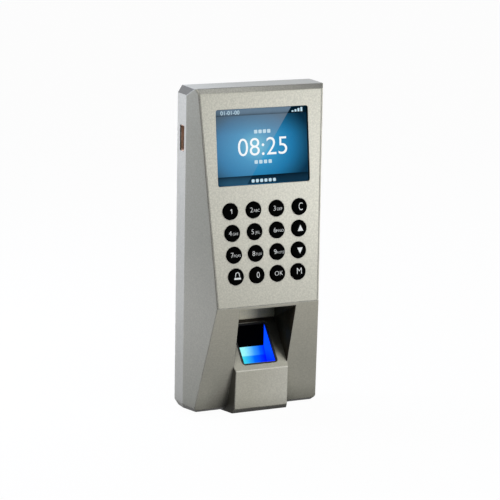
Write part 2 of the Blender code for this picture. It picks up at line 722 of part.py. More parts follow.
# Screws: head and shank in one turned body, driven forwards or upwards
for index, (x, z, end) in enumerate(COVER_SCREWS, 1):
    screw = turning(f"cover_screw_{index}", COVER_SCREW_PROFILE, STEEL, 16)
    screw.location = place(x * MM, 2.0 * MM, z * MM)
    screw.rotation_euler = (0.0, 0.0, math.pi)
for index, (x, z, end) in enumerate(BOARD_SCREWS, 1):
    screw = turning(f"board_screw_{index}", BOARD_SCREW_PROFILE, STEEL, 16)
    screw.location = place(x * MM, 8.9 * MM, z * MM)
    screw.rotation_euler = (0.0, 0.0, math.pi)
security = turning("security_screw", SECURITY_PROFILE, STEEL, 16)
security.location = place(0, BASE_BORE[1] * MM, 0.2 * MM)
security.rotation_euler = (math.pi / 2, 0.0, 0.0)
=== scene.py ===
"""Looks of the wall-mounted fingerprint scanner terminal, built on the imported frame.

Lengths are in metres, and the front faces -Y.
"""

import json
import math

import bmesh
import bpy
from mathutils import Matrix, Vector

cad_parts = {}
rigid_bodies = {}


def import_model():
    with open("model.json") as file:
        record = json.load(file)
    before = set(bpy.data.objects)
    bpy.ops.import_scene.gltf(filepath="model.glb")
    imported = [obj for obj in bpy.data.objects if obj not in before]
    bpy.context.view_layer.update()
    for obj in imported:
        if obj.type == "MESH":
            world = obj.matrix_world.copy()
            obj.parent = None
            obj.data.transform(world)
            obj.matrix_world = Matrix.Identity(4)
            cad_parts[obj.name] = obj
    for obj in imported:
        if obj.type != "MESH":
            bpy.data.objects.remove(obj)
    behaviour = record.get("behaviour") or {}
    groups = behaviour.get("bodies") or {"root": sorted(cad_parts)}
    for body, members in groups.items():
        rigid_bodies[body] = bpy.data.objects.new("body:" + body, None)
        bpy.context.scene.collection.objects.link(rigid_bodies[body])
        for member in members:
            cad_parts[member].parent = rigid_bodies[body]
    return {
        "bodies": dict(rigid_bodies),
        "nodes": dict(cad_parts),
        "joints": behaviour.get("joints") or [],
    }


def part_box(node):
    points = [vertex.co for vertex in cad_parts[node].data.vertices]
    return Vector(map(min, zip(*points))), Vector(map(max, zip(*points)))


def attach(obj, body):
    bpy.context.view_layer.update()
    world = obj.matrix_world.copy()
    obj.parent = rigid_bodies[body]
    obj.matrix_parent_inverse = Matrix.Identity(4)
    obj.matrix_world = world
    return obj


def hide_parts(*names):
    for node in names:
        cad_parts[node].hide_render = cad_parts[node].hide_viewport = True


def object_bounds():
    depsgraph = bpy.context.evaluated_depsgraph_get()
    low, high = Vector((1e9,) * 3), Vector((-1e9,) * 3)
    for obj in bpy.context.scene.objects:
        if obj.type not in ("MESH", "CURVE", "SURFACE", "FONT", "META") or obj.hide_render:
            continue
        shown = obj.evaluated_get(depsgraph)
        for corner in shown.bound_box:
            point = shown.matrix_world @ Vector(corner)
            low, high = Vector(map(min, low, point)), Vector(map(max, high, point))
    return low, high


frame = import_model()
cad_box = [list(corner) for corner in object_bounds()]
NODES = frame["nodes"]
KEYS = [body for body in frame["bodies"] if body.startswith("key_")]
BODY = "terminal"
MM = 0.001
WHITE = (1.0, 1.0, 1.0)

# Camera
AZIMUTH = math.radians(-25.186)
ELEVATION = math.radians(12.710)
ROLL = 0.0194
DISTANCE = 1.28902
SENSOR = 36.0
LENS = 159.68
SHIFT = (-0.01434, 0.00636)
TARGET = Vector((-0.0004, -0.0200, -0.0025))

# Panel axes, taken from the keys' press direction
PRESS = next(Vector(j["axis"]) for j in frame["joints"] if j["name"] == "key_1_press")
OUT = -PRESS.normalized()
RIGHT = Vector((1.0, 0.0, 0.0))
UP = OUT.cross(RIGHT)
PANEL_TURN = Matrix((RIGHT, UP, OUT)).transposed().to_4x4()

# Body, panel, finger recess and side port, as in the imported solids
HEIGHT = 190.4 * MM
BASE = -HEIGHT / 2
PANEL_TOP_HALF = 39.528 * MM
PANEL_TAPER = 0.0572
PANEL_TOP_DEPTH = 20.35 * MM
PANEL_RISE = 0.1231
PANEL_GAP = (0.60 * MM, 0.90 * MM)
RIDGE_HEIGHT = 65.25 * MM
RIDGE_GAP = 0.15 * MM
STRIP_TOP = 187.6 * MM
STRIP_EDGE = 18.73 * MM
STRIP_SLOPE = (2.73, 1.96)
PLATFORM_RISE = 1.1105
PLATFORM_LEVEL = 57.46 * MM
RECESS_BACK = 7.0 * MM
FOOT_DEPTH = 20.19 * MM
FOOT_RISE = 0.2388
PORT_SIZE = (5.9 * MM, 15.1 * MM)
PORT_ROUND = 1.0 * MM
PORT_PLACE = (-7.2 * MM, BASE + 160.9 * MM)

# Directions that the housing's faces look towards
LEFT = (-1.0, 0.0, 0.0)
FRONT = (0.0, -1.0, 0.0)
TOP = (0.0, 0.0, 1.0)
TOP_LEFT_CORNER = (-1.0, 0.0, 1.0)
FACET_OUT = (-0.91, -0.42, 0.0)
PEDESTAL_OUT = (-0.96, -0.28, 0.0)
FOOT_OUT = (0.0, -0.97, -0.23)
PLATFORM_OUT = (0.0, -PLATFORM_RISE, 1.0)


# Materials

# Sockets of a Mix node that blends colours
MIX_SHARE = 0
MIX_FIRST = 6
MIX_SECOND = 7
MIX_RESULT = 2

# Most values of a noise lie in this range
NOISE_RANGE = (0.3, 0.7)

# How far a face turns towards a direction to count as facing it
SQUARE_ON = 0.985
NEARLY_SQUARE = 0.90
FACING_BLUR = 0.005


class Look:
    """A material with a Principled shader and short calls for the nodes that feed it."""

    def __init__(self, name, rough=0.5, metal=0.0, **sockets):
        self.material = bpy.data.materials.new(name)
        self.material.use_nodes = True
        self.nodes = self.material.node_tree.nodes
        self.links = self.material.node_tree.links
        self.shader = self.nodes["Principled BSDF"]
        self.shader.inputs["Roughness"].default_value = rough
        self.shader.inputs["Metallic"].default_value = metal
        for socket, value in sockets.items():
            self.shader.inputs[socket.replace("_", " ")].default_value = value
        self.place = self.nodes.new("ShaderNodeTexCoord").outputs["Object"]

    def link(self, source, socket):
        """Links a node's output to a socket of the shader."""
        self.links.new(source, self.shader.inputs[socket])

    def feed(self, socket, value):
        """Links a node's output to a socket, or sets the socket to a number, a direction or a colour."""
        if isinstance(value, bpy.types.NodeSocket):
            self.links.new(value, socket)
        else:
            socket.default_value = (*value, 1.0) if isinstance(value, tuple) else value

    def noise(self, scale, detail=2.0, stretch=None):
        node = self.nodes.new("ShaderNodeTexNoise")
        node.inputs["Scale"].default_value = scale
        node.inputs["Detail"].default_value = detail
        source = self.place
        if stretch:
            turn = self.nodes.new("ShaderNodeMapping")
            turn.inputs["Scale"].default_value = stretch
            self.links.new(source, turn.inputs["Vector"])
            source = turn.outputs["Vector"]
        self.links.new(source, node.inputs["Vector"])
        return node.outputs["Fac"]

    def ramp(self, factor, *stops):
        node = self.nodes.new("ShaderNodeValToRGB")
        while len(node.color_ramp.elements) < len(stops):
            node.color_ramp.elements.new(0.5)
        for element, (position, colour) in zip(node.color_ramp.elements, stops):
            element.position = position
            element.color = (*colour, 1.0)
        self.links.new(factor, node.inputs["Fac"])
        return node.outputs["Color"]

    def grey(self, factor, dark, light, start=NOISE_RANGE[0], end=NOISE_RANGE[1]):
        """A grey between two shades, to multiply a colour by."""
        return self.ramp(factor, (start, (dark, dark, dark)), (end, (light, light, light)))

    def span(self, factor, low, high, start=0.0, end=1.0):
        """Turns the range from start to end into the range from low to high, and holds it there."""
        node = self.nodes.new("ShaderNodeMapRange")
        for socket, value in zip(("From Min", "From Max", "To Min", "To Max"), (start, end, low, high)):
            node.inputs[socket].default_value = value
        self.links.new(factor, node.inputs["Value"])
        return node.outputs["Result"]

    def mix(self, share, first, second, kind="MIX"):
        node = self.nodes.new("ShaderNodeMix")
        node.data_type = "RGBA"
        node.blend_type = kind
        for socket, value in ((MIX_SHARE, share), (MIX_FIRST, first), (MIX_SECOND, second)):
            self.feed(node.inputs[socket], value)
        return node.outputs[MIX_RESULT]

    def layered(self, tone, *layers):
        """A colour multiplied by each layer in turn."""
        for layer in layers:
            tone = self.mix(1.0, tone, layer, "MULTIPLY")
        return tone

    def operate(self, kind, first, second):
        node = self.nodes.new("ShaderNodeMath")
        node.operation = kind
        for socket, value in zip(node.inputs, (first, second)):
            self.feed(socket, value)
        return node.outputs[0]

    def product(self, *factors):
        total = factors[0]
        for factor in factors[1:]:
            total = self.operate("MULTIPLY", total, factor)
        return total

    def axes(self):
        node = self.nodes.new("ShaderNodeSeparateXYZ")
        self.links.new(self.place, node.inputs[0])
        return node.outputs

    def across(self, start, end):
        """0 at one place across and 1 at another, in either order."""
        return self.span(self.axes()[0], 0.0, 1.0, start, end)

    def upward(self, start, end):
        """0 at one height above the base and 1 at another, in either order."""
        return self.span(self.axes()[2], 0.0, 1.0, BASE + start, BASE + end)

    def within(self, value, low, high, blur=0.1 * MM):
        """1 between two levels, 0 beyond them."""
        rising = self.span(value, 0.0, 1.0, low - blur, low)
        return self.product(rising, self.span(value, 1.0, 0.0, high, high + blur))

    def facing(self, direction):
        """How far the surface's own normal turns towards a direction."""
        node = self.nodes.new("ShaderNodeVectorMath")
        node.operation = "DOT_PRODUCT"
        self.links.new(self.nodes.new("ShaderNodeNewGeometry").outputs["True Normal"], node.inputs[0])
        self.feed(node.inputs[1], direction)
        return node.outputs["Value"]

    def turned(self, direction, least=SQUARE_ON):
        """1 on faces that turn towards a direction by at least this much."""
        return self.span(self.facing(Vector(direction).normalized()), 0.0, 1.0, least, least + FACING_BLUR)

    def rounded_normal(self, radius, samples):
        """The surface's normal with its edges rounded off."""
        edge = self.nodes.new("ShaderNodeBevel")
        edge.inputs["Radius"].default_value = radius
        edge.samples = samples
        return edge.outputs["Normal"]

    def edge_turn(self, radius):
        """1 on flat ground, less where a nearby edge rounds the surface."""
        return self.facing(self.rounded_normal(radius, samples=6))

    def shelter(self, reach):
        """1 in the open, less in deep corners."""
        node = self.nodes.new("ShaderNodeAmbientOcclusion")
        node.samples = 8
        node.inputs["Distance"].default_value = reach
        return node.outputs["AO"]

    def bump(self, height, strength, distance, soft_edge=0.0):
        node = self.nodes.new("ShaderNodeBump")
        node.inputs["Strength"].default_value = strength
        node.inputs["Distance"].default_value = distance
        self.links.new(height, node.inputs["Height"])
        if soft_edge:
            self.links.new(self.rounded_normal(soft_edge, samples=4), node.inputs["Normal"])
        self.link(node.outputs["Normal"], "Normal")


def shades(colour, *factors):
    """A colour made darker or lighter by each factor."""
    return [tuple(min(1.0, c * f) for c in colour) for f in factors]


# Metallic paint
PAINT_METAL = 0.1
PAINT_VARIES = 0.02
FLAKE_SCALE = 1100.0
FLAKE_RANGE = (0.38, 0.66)
FLAKE_TONE = 0.952
FLAKE_RELIEF = 0.08
FLAKE_DEPTH = 0.08 * MM
FINE_SCALE = 3200.0
FINE_RANGE = (0.38, 0.62)
FINE_DARK = 0.94
CLOUD_SCALE = 22.0
CLOUD_DARK = 0.95
# Painted highlight: edges paler where the rounded normal turns
EDGE_WIDTH = 1.4
EDGE_HIGHLIGHT_SHARE = 0.30
EDGE_TURN = (0.80, 0.99)
EDGE_HIGHLIGHT_COLOUR = (0.82, 0.82, 0.78)
# Painted shade in deep corners, from ambient occlusion
CORNER_SHADE_REACH = 18.0 * MM
CORNER_SHADE_TONES = ((0.28, (0.05, 0.05, 0.047)), (0.50, (0.64, 0.64, 0.63)), (0.82, WHITE))


def metallic_paint(name, colour, rough, gloss, soft_edge, spread, light_and_shade):
    """Silver-grey metallic paint: fine flake, a painted highlight along its edges, painted shade in deep
    corners, and areas of painted light and shade.
    """
    look = Look(name, metal=PAINT_METAL, Specular_IOR_Level=gloss)
    tone = colour
    # Areas of painted light and shade, each mixed in with its own tone
    for mask, other in light_and_shade:
        tone = look.mix(mask(look), tone, other)
    coarse = look.noise(FLAKE_SCALE, detail=3.0)
    flake = look.grey(coarse, FLAKE_TONE * (1.0 - spread), FLAKE_TONE * (1.0 + spread), *FLAKE_RANGE)
    fine = look.grey(look.noise(FINE_SCALE, detail=1.0), FINE_DARK, 1.0, *FINE_RANGE)
    cloud = look.grey(look.noise(CLOUD_SCALE, detail=3.0), CLOUD_DARK, 1.0)
    tone = look.layered(tone, flake, fine, cloud)
    # Painted highlight along the edges
    edge = look.span(look.edge_turn(soft_edge * EDGE_WIDTH), EDGE_HIGHLIGHT_SHARE, 0.0, *EDGE_TURN)
    tone = look.mix(edge, tone, EDGE_HIGHLIGHT_COLOUR)
    # Painted shade in deep corners
    tone = look.layered(tone, look.ramp(look.shelter(CORNER_SHADE_REACH), *CORNER_SHADE_TONES))
    look.link(tone, "Base Color")
    look.link(look.span(coarse, rough - PAINT_VARIES, rough + PAINT_VARIES, *NOISE_RANGE), "Roughness")
    look.bump(coarse, FLAKE_RELIEF, FLAKE_DEPTH, soft_edge)
    return look.material


# Where painted light and shade change the paint's tone: a pair is where an area starts and where it is full,
# or its two ends
RIM_START = 0.2 * MM
RIM_MIDDLE = 1.0 * MM
LEFT_RIM_FACING = 0.990
RIGHT_RIM_FACING = 0.50
FACET_END = (-24.0 * MM, -25.0 * MM)
FACET_HIGH = (95.0 * MM, 165.0 * MM)
FACET_LOW = (BASE + 45.0 * MM, BASE + 62.0 * MM)
FACET_LOW_BLUR = 38.0 * MM
SIDE_LOW = (62.0 * MM, 0.0)
FOOT_HIGH = (28.0 * MM, 62.0 * MM)
TOP_LEFT = (-8.0 * MM, -40.0 * MM)
BACK_DEPTHS = (-9.0 * MM, -5.0 * MM)
SHADE_ACROSS = (9.0 * MM, 11.0 * MM)
SHADE_UPWARD = (30.0 * MM, 37.0 * MM)
PLATFORM_LOW = (33.0 * MM, 29.0 * MM)
FOOT_SHADE_START = (-33.0 * MM, -21.5 * MM)
FOOT_SHADE_END = (0.0, -1.0 * MM)
FOOT_SHADE_DOWN = (28.0 * MM, 2.0 * MM)
PEDESTAL_SIDE = (-23.0 * MM, -14.0 * MM)
PEDESTAL_STAND = (FOOT_DEPTH + 1.0 * MM, FOOT_DEPTH + 1.2 * MM)
PEDESTAL_TOP = (27.0 * MM, 26.0 * MM)
PEDESTAL_RIGHT = (-8.0 * MM, 18.0 * MM)
# Painted highlight along the pedestal's top edge
HIGHLIGHT_HEIGHTS = (BASE + 24.85 * MM, BASE + 25.4 * MM)
HIGHLIGHT_DEPTHS = (-30.0 * MM, -28.7 * MM)
STRIP_FACING = (0.90, 0.97)
STRIP_END = (-10.0 * MM, 40.0 * MM)


def rim(look, side, least):
    """1 on the housing's narrow rim beside the panel, as far round its edge as the least facing."""
    above = look.upward(RIDGE_HEIGHT, RIDGE_HEIGHT + RIM_START)
    beside = look.across(-side * RIM_MIDDLE, side * RIM_MIDDLE)
    return look.product(look.turned(OUT, least), above, beside)


def left_rim_shadow(look):
    """The rim that shows as a dark joint line: a real joint, painted dark as its shadow."""
    return rim(look, -1.0, LEFT_RIM_FACING)


def right_rim_highlight(look):
    """The rim beside the panel, sprayed with it, and its rounded edge, painted much paler as a highlight."""
    return rim(look, 1.0, RIGHT_RIM_FACING)


def left_facet(look):
    """The long slanted face between the left side and the panel, painted a darker, warmer tone as shade."""
    return look.product(look.turned(FACET_OUT), look.across(*FACET_END))


def facet_high_shade(look):
    """The slanted face's upper end, painted darker as shade."""
    return look.product(left_facet(look), look.upward(*FACET_HIGH))


def facet_low_light(look):
    """The slanted face's lower half, painted paler as light."""
    _, _, z = look.axes()
    return look.product(left_facet(look), look.within(z, *FACET_LOW, FACET_LOW_BLUR))


def side_low_shade(look):
    """The left side's lower end, painted darker as shade."""
    return look.product(look.turned(LEFT), look.upward(*SIDE_LOW))


def foot_high_light(look):
    """The foot's upper end below the panel, painted paler as light."""
    return look.product(look.turned(FOOT_OUT), look.upward(*FOOT_HIGH))


def top_left_light(look):
    """The top face's left end, painted paler as light."""
    return look.product(look.turned(TOP), look.across(*TOP_LEFT))


def corner_chamfer_shade(look):
    """The flat that cuts the housing's top left corner, painted dark as shade."""
    return look.turned(TOP_LEFT_CORNER, NEARLY_SQUARE)


def recess_back_light(look):
    """The wall behind the finger recess, painted paler as light."""
    _, y, _ = look.axes()
    return look.product(look.turned(FRONT, NEARLY_SQUARE), look.within(y, *BACK_DEPTHS))


def platform_shade(look):
    """The part of the platform right of the prism, with a painted shadow towards the recess's corner."""
    return look.product(look.turned(PLATFORM_OUT), look.across(*SHADE_ACROSS), look.upward(*SHADE_UPWARD))


def platform_low_light(look):
    """The platform's lower end, painted paler as light."""
    return look.product(look.turned(PLATFORM_OUT), look.upward(*PLATFORM_LOW))


def foot_shade(look):
    """The foot's corner left of the pedestal, with painted shade."""
    near = look.product(look.across(*FOOT_SHADE_START), look.across(*FOOT_SHADE_END))
    return look.product(look.turned(FOOT_OUT), near, look.upward(*FOOT_SHADE_DOWN))


def pedestal_side_shade(look):
    """The left side of the pedestal, painted dark as shade."""
    x, _, _ = look.axes()
    return look.product(look.turned(PEDESTAL_OUT), look.within(x, *PEDESTAL_SIDE))


def pedestal_front_light(look):
    """The front of the pedestal, which stands out from the sloped foot and is painted paler as light."""
    _, y, z = look.axes()
    foot = look.product(look.operate("SUBTRACT", z, BASE), FOOT_RISE)
    stand = look.operate("SUBTRACT", look.product(y, -1.0), foot)
    stands = look.span(stand, 0.0, 1.0, *PEDESTAL_STAND)
    return look.product(look.turned(FRONT), stands, look.upward(*PEDESTAL_TOP))


def pedestal_right_highlight(look):
    """The right end of the pedestal's front, painted paler as a highlight."""
    return look.product(pedestal_front_light(look), look.across(*PEDESTAL_RIGHT))


def pedestal_edge_highlight(look):
    """The edge between the pedestal's front and the platform, with a painted highlight."""
    _, y, z = look.axes()
    return look.product(look.within(z, *HIGHLIGHT_HEIGHTS), look.within(y, *HIGHLIGHT_DEPTHS))


def top_strip_shade(look):
    """The panel's sloped top strip, painted darker as shade."""
    return look.span(look.facing(OUT), 1.0, 0.0, *STRIP_FACING)


def strip_end_shade(look):
    """The top strip's right end, painted darker still as shade."""
    return look.product(top_strip_shade(look), look.across(*STRIP_END))


# Tones of painted light and shade on the housing, each over its mask's area
HOUSING_LIGHT_AND_SHADE = (
    (left_facet, (0.485, 0.475, 0.385)),
    (facet_high_shade, (0.39, 0.382, 0.30)),
    (facet_low_light, (0.58, 0.563, 0.46)),
    (side_low_shade, (0.395, 0.385, 0.325)),
    (foot_high_light, (0.635, 0.615, 0.515)),
    (top_left_light, (0.63, 0.617, 0.53)),
    (corner_chamfer_shade, (0.18, 0.176, 0.153)),
    (left_rim_shadow, (0.11, 0.108, 0.095)),
    (right_rim_highlight, (0.95, 0.94, 0.83)),
    (recess_back_light, (0.90, 0.85, 0.65)),
    (platform_shade, (0.17, 0.167, 0.14)),
    (platform_low_light, (0.58, 0.57, 0.475)),
    (foot_shade, (0.20, 0.193, 0.165)),
    (pedestal_side_shade, (0.19, 0.18, 0.145)),
    (pedestal_front_light, (0.68, 0.665, 0.56)),
    (pedestal_right_highlight, (0.80, 0.785, 0.69)),
    (pedestal_edge_highlight, (0.83, 0.815, 0.72)),
)
# Tones of painted shade on the panel's top strip
PANEL_LIGHT_AND_SHADE = (
    (top_strip_shade, (0.335, 0.331, 0.283)),
    (strip_end_shade, (0.15, 0.148, 0.126)),
)
HOUSING_COLOUR = (0.505, 0.495, 0.42)
PANEL_COLOUR = (0.480, 0.472, 0.393)
housing_paint = metallic_paint(
    "housing_paint", HOUSING_COLOUR, rough=0.44, gloss=0.24, soft_edge=0.45 * MM, spread=0.066,
    light_and_shade=HOUSING_LIGHT_AND_SHADE,
)
panel_paint = metallic_paint(
    "panel_paint", PANEL_COLOUR, rough=0.32, gloss=0.5, soft_edge=0.4 * MM, spread=0.125,
    light_and_shade=PANEL_LIGHT_AND_SHADE,
)


# Plain materials
GRAIN_VARIES = 0.06
GRAIN_DEPTH = 0.06 * MM
STAIN_SCALE = 40.0
STAIN_SHADES = (0.93, 1.04)
BOARD_COLOURS = {
    "Color1": (0.012, 0.115, 0.05),
    "Color2": (0.016, 0.15, 0.065),
    "Mortar": (0.035, 0.22, 0.10),
}
BOARD_SCALE = 160.0
TRACK_WIDTH = 0.06
TRACK_RELIEF = 0.2
TRACK_DEPTH = 0.05 * MM
BOARD_GLOSS_SCALE = 300.0
BOARD_GLOSS = (0.35, 0.55)
HAZE_SCALE = 60.0
HAZE_TINT = (0.96, 0.98, 0.99)
COVER_BEND = 1.001
UNLIT_COLOUR = (0.001, 0.0012, 0.0015, 1.0)


def grained(name, colour, rough, scale, depth, spread, metal=0.0, stretch=None, **sockets):
    """Plastic, rubber, print or metal with a grain that shows in colour, gloss and relief."""
    look = Look(name, metal=metal, **sockets)
    grain = look.noise(scale, detail=3.0, stretch=stretch)
    base = look.ramp(grain, *zip(NOISE_RANGE, shades(colour, 1.0 - spread, 1.0 + spread)))
    stain = look.grey(look.noise(STAIN_SCALE), *STAIN_SHADES)
    look.link(look.layered(base, stain), "Base Color")
    look.link(look.span(grain, rough - GRAIN_VARIES, rough + GRAIN_VARIES, *NOISE_RANGE), "Roughness")
    look.bump(grain, depth, GRAIN_DEPTH)
    return look.material


def board_material():
    """Green circuit board with a fine pattern of tracks."""
    look = Look("circuit_board")
    cells = look.nodes.new("ShaderNodeTexBrick")
    cells.inputs["Scale"].default_value = BOARD_SCALE
    cells.inputs["Mortar Size"].default_value = TRACK_WIDTH
    for socket, colour in BOARD_COLOURS.items():
        look.feed(cells.inputs[socket], colour)
    turn = look.nodes.new("ShaderNodeMapping")
    turn.inputs["Rotation"].default_value = (math.pi / 2, 0.0, 0.0)
    look.links.new(look.place, turn.inputs["Vector"])
    look.links.new(turn.outputs["Vector"], cells.inputs["Vector"])
    look.link(cells.outputs["Color"], "Base Color")
    look.link(look.span(look.noise(BOARD_GLOSS_SCALE), *BOARD_GLOSS), "Roughness")
    look.bump(cells.outputs["Fac"], TRACK_RELIEF, TRACK_DEPTH)
    return look.material


def cover_material():
    """Clear, faintly tinted plastic that hardly bends or mirrors light."""
    look = Look("clear_cover", rough=0.0, Transmission_Weight=1.0, IOR=COVER_BEND)
    haze = look.ramp(look.noise(HAZE_SCALE), *zip(NOISE_RANGE, (HAZE_TINT, WHITE)))
    look.link(haze, "Base Color")
    return look.material


def glowing(name, strength=1.0):
    """A dark surface that shines with the colour given to it later."""
    return Look(name, rough=0.35, Base_Color=UNLIT_COLOUR, Specular_IOR_Level=0.0, Emission_Strength=strength)


key_gloss = grained(
    "key_gloss", (0.003, 0.003, 0.003), rough=0.5, scale=2500.0, depth=0.03, spread=0.25,
    Specular_IOR_Level=0.0,
)
# White print with a faint glow, which is painted light
legend_white_glow = grained(
    "legend_white_glow", (0.78, 0.8, 0.8), rough=0.5, scale=4000.0, depth=0.02, spread=0.05,
    Emission_Color=(0.75, 0.8, 0.8, 1.0), Emission_Strength=0.24,
)
rubber = grained("black_rubber", (0.012, 0.012, 0.012), rough=0.62, scale=1800.0, depth=0.25, spread=0.3)
steel = grained(
    "zinc_steel", (0.56, 0.56, 0.57), rough=0.38, scale=160.0, depth=0.05, spread=0.10,
    metal=1.0, stretch=(1.0, 1.0, 14.0),
)
black_plastic = grained(
    "black_plastic", (0.016, 0.016, 0.017), rough=0.5, scale=1500.0, depth=0.4, spread=0.3
)
white_plastic = grained(
    "white_plastic", (0.74, 0.73, 0.68), rough=0.45, scale=1200.0, depth=0.08, spread=0.05
)
port_brown = grained(
    "port_brown", (0.22, 0.105, 0.05), rough=0.42, scale=500.0, depth=0.05, spread=0.2,
    metal=0.35, stretch=(1.0, 8.0, 1.0),
)
# Brown of the side port, made pale as painted light
lit_lining_brown = grained("lit_lining_brown", (0.92, 0.64, 0.46), rough=0.5, scale=700.0, depth=0.05, spread=0.12)
amber_film = grained("amber_film", (0.42, 0.19, 0.04), rough=0.35, scale=700.0, depth=0.05, spread=0.1)
# Near-black sheets that stand in for painted shade in the finger recess
recess_shade_black = grained(
    "recess_shade_black", (0.040, 0.033, 0.022), rough=0.6, scale=1200.0, depth=0.2, spread=0.3,
    Specular_IOR_Level=0.12,
)
prism_black = grained(
    "prism_black", (0.001, 0.001, 0.0015), rough=0.5, scale=900.0, depth=0.05, spread=0.3,
    Specular_IOR_Level=0.0,
)


# Dressing the carried-over solids
SHARP_ANGLE = math.radians(30.0)


def dress(material, *names):
    """Gives carried-over solids a material in place of their own."""
    for name in names:
        node = NODES[name]
        node.data.materials.clear()
        node.data.materials.append(material)


dress(housing_paint, "front_housing")
dress(panel_paint, "front_panel")
dress(cover_material(), "screen_window")
dress(key_gloss, "lcd_glass", *KEYS)
dress(rubber, "keypad_mat", "platen_gasket", "cable_grommet")
dress(board_material(), "keypad_pcb", "scanner_led_board", "scanner_sensor_board", "main_pcb")
dress(black_plastic, "rear_cover", "battery_holder", "speaker", "tamper_switch")
dress(black_plastic, "scanner_lens", "scanner_carrier")
dress(white_plastic, "tamper_plunger", "scanner_light_guide")
dress(white_plastic, "power_connector", "lock_connector", "network_connector")
dress(port_brown, "usb_socket", "usb_tongue")
dress(amber_film, "lcd_flex", "scanner_ribbon")
dress(steel, "lcd_frame", "dome_sheet", "processor_shield", "coin_cell", "wall_plate", "security_screw")
dress(steel, *[f"{kind}_screw_{n}" for kind in ("cover", "board") for n in (1, 2, 3, 4)])
for node in NODES.values():
    node.data.shade_smooth()
    node.data.set_sharp_from_angle(angle=SHARP_ANGLE)


# New pieces
PRINT_THICK = 0.03 * MM
PRINT_STEPS = 4
FACE_DEPTH = 0.02 * MM


def place(name, data, material, body, matrix):
    """Puts new geometry into the scene, carried by a body."""
    item = bpy.data.objects.new(name, data)
    bpy.context.scene.collection.objects.link(item)
    data.materials.append(material)
    item.matrix_world = matrix
    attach(item, body)
    return item


def piece(name, bm, material, body=BODY, matrix=Matrix.Identity(4)):
    """A new piece from the faces built so far."""
    bmesh.ops.recalc_face_normals(bm, faces=bm.faces[:])
    mesh = bpy.data.meshes.new(name)
    bm.to_mesh(mesh)
    bm.free()
    return place(name, mesh, material, body, matrix)


def words(name, text, size, matrix, material, body=BODY, thin=0.0, narrow=1.0):
    """Raised print, centred on the matrix, which carries X along the line and Z out of the surface."""
    curve = bpy.data.curves.new(name, "FONT")
    curve.body = text
    curve.size = size
    curve.extrude = PRINT_THICK
    curve.offset = -thin
    curve.align_x = "CENTER"
    curve.align_y = "CENTER"
    curve.resolution_u = PRINT_STEPS
    place(name, curve, material, body, matrix @ Matrix.Diagonal((narrow, 1.0, 1.0, 1.0)))


def thicken(bm, faces, shift):
    """Grows faces into a closed sheet, whose other side is moved by the shift."""
    grown = bmesh.ops.extrude_face_region(bm, geom=faces)["geom"]
    moved = [part for part in grown if isinstance(part, bmesh.types.BMVert)]
    bmesh.ops.translate(bm, verts=moved, vec=shift)


def join_rings(bm, first, second):
    """Side faces between two rings with as many points."""
    for i in range(len(first)):
        follow = (i + 1) % len(first)
        bm.faces.new((first[i], first[follow], second[follow], second[i]))


def face_centre(node, outward):
    """Middle of the outermost points of a node along a direction."""
    points = [v.co for v in NODES[node].data.vertices]
    reach = max(p.dot(outward) for p in points)
    front = [p for p in points if p.dot(outward) > reach - FACE_DEPTH]
    low = [min(p[i] for p in front) for i in range(3)]
    high = [max(p[i] for p in front) for i in range(3)]
    return (Vector(low) + Vector(high)) / 2


def on_panel(origin, right=0.0, up=0.0, lift=0.0):
    """A place beside a point on the panel, turned as the panel is."""
    return Matrix.Translation(origin + RIGHT * right + UP * up + OUT * lift) @ PANEL_TURN


# Sealing bead in the gap round the panel, painted over with it
BEAD_SINKS = (0.04 * MM, 0.8 * MM)


def bead_point(side, inset, height, sink):
    """A point beside the panel's edge: inset from the facet's edge, and sunk below the panel's face."""
    half = PANEL_TOP_HALF - PANEL_TAPER * (HEIGHT - height) - inset
    depth = PANEL_TOP_DEPTH + PANEL_RISE * (HEIGHT - height)
    return Vector((side * half, -depth, BASE + height)) - OUT * sink


def panel_bead():
    """A bead down the panel's left edge, along its lower edge and up its right edge."""
    bm = bmesh.new()
    rings = []
    for side, ends in ((-1, (STRIP_TOP, RIDGE_HEIGHT)), (1, (RIDGE_HEIGHT, STRIP_TOP))):
        for level in ends:
            drop = RIDGE_GAP if level == RIDGE_HEIGHT else 0.0
            ring = []
            for inset, height in ((PANEL_GAP[0], level - drop), (PANEL_GAP[1], level + drop)):
                ring += [bm.verts.new(bead_point(side, inset, height, sink)) for sink in BEAD_SINKS]
            rings.append([ring[0], ring[2], ring[3], ring[1]])
    for first, second in zip(rings, rings[1:]):
        join_rings(bm, first, second)
    bm.faces.new(rings[0])
    bm.faces.new(rings[-1])
    return bm


piece("panel_bead", panel_bead(), panel_paint)


# Corners at the ends of the panel's top strip, as places across and heights above the base
STRIP_CORNER = (
    (38.77 * MM, 187.7 * MM),
    (38.92 * MM, 190.3 * MM),
    (37.25 * MM, 190.3 * MM),
    (38.47 * MM, 189.1 * MM),
    (38.47 * MM, 187.7 * MM),
)
FILL_SINK = 0.04 * MM
FILL_THICK = 0.7 * MM


def strip_fill(side):
    """Fills the small open corner at one end of the panel's top strip."""
    out, up = STRIP_SLOPE
    normal = Vector((0.0, -out, up)).normalized()
    bm = bmesh.new()
    ring = []
    for x, height in STRIP_CORNER:
        depth = STRIP_EDGE + up / out * (HEIGHT - height)
        ring.append(bm.verts.new(Vector((side * x, -depth, BASE + height)) - normal * FILL_SINK))
    thicken(bm, [bm.faces.new(ring)], normal * -FILL_THICK)
    return bm


for side, name in ((-1, "strip_fill_left"), (1, "strip_fill_right")):
    piece(name, strip_fill(side), panel_paint)


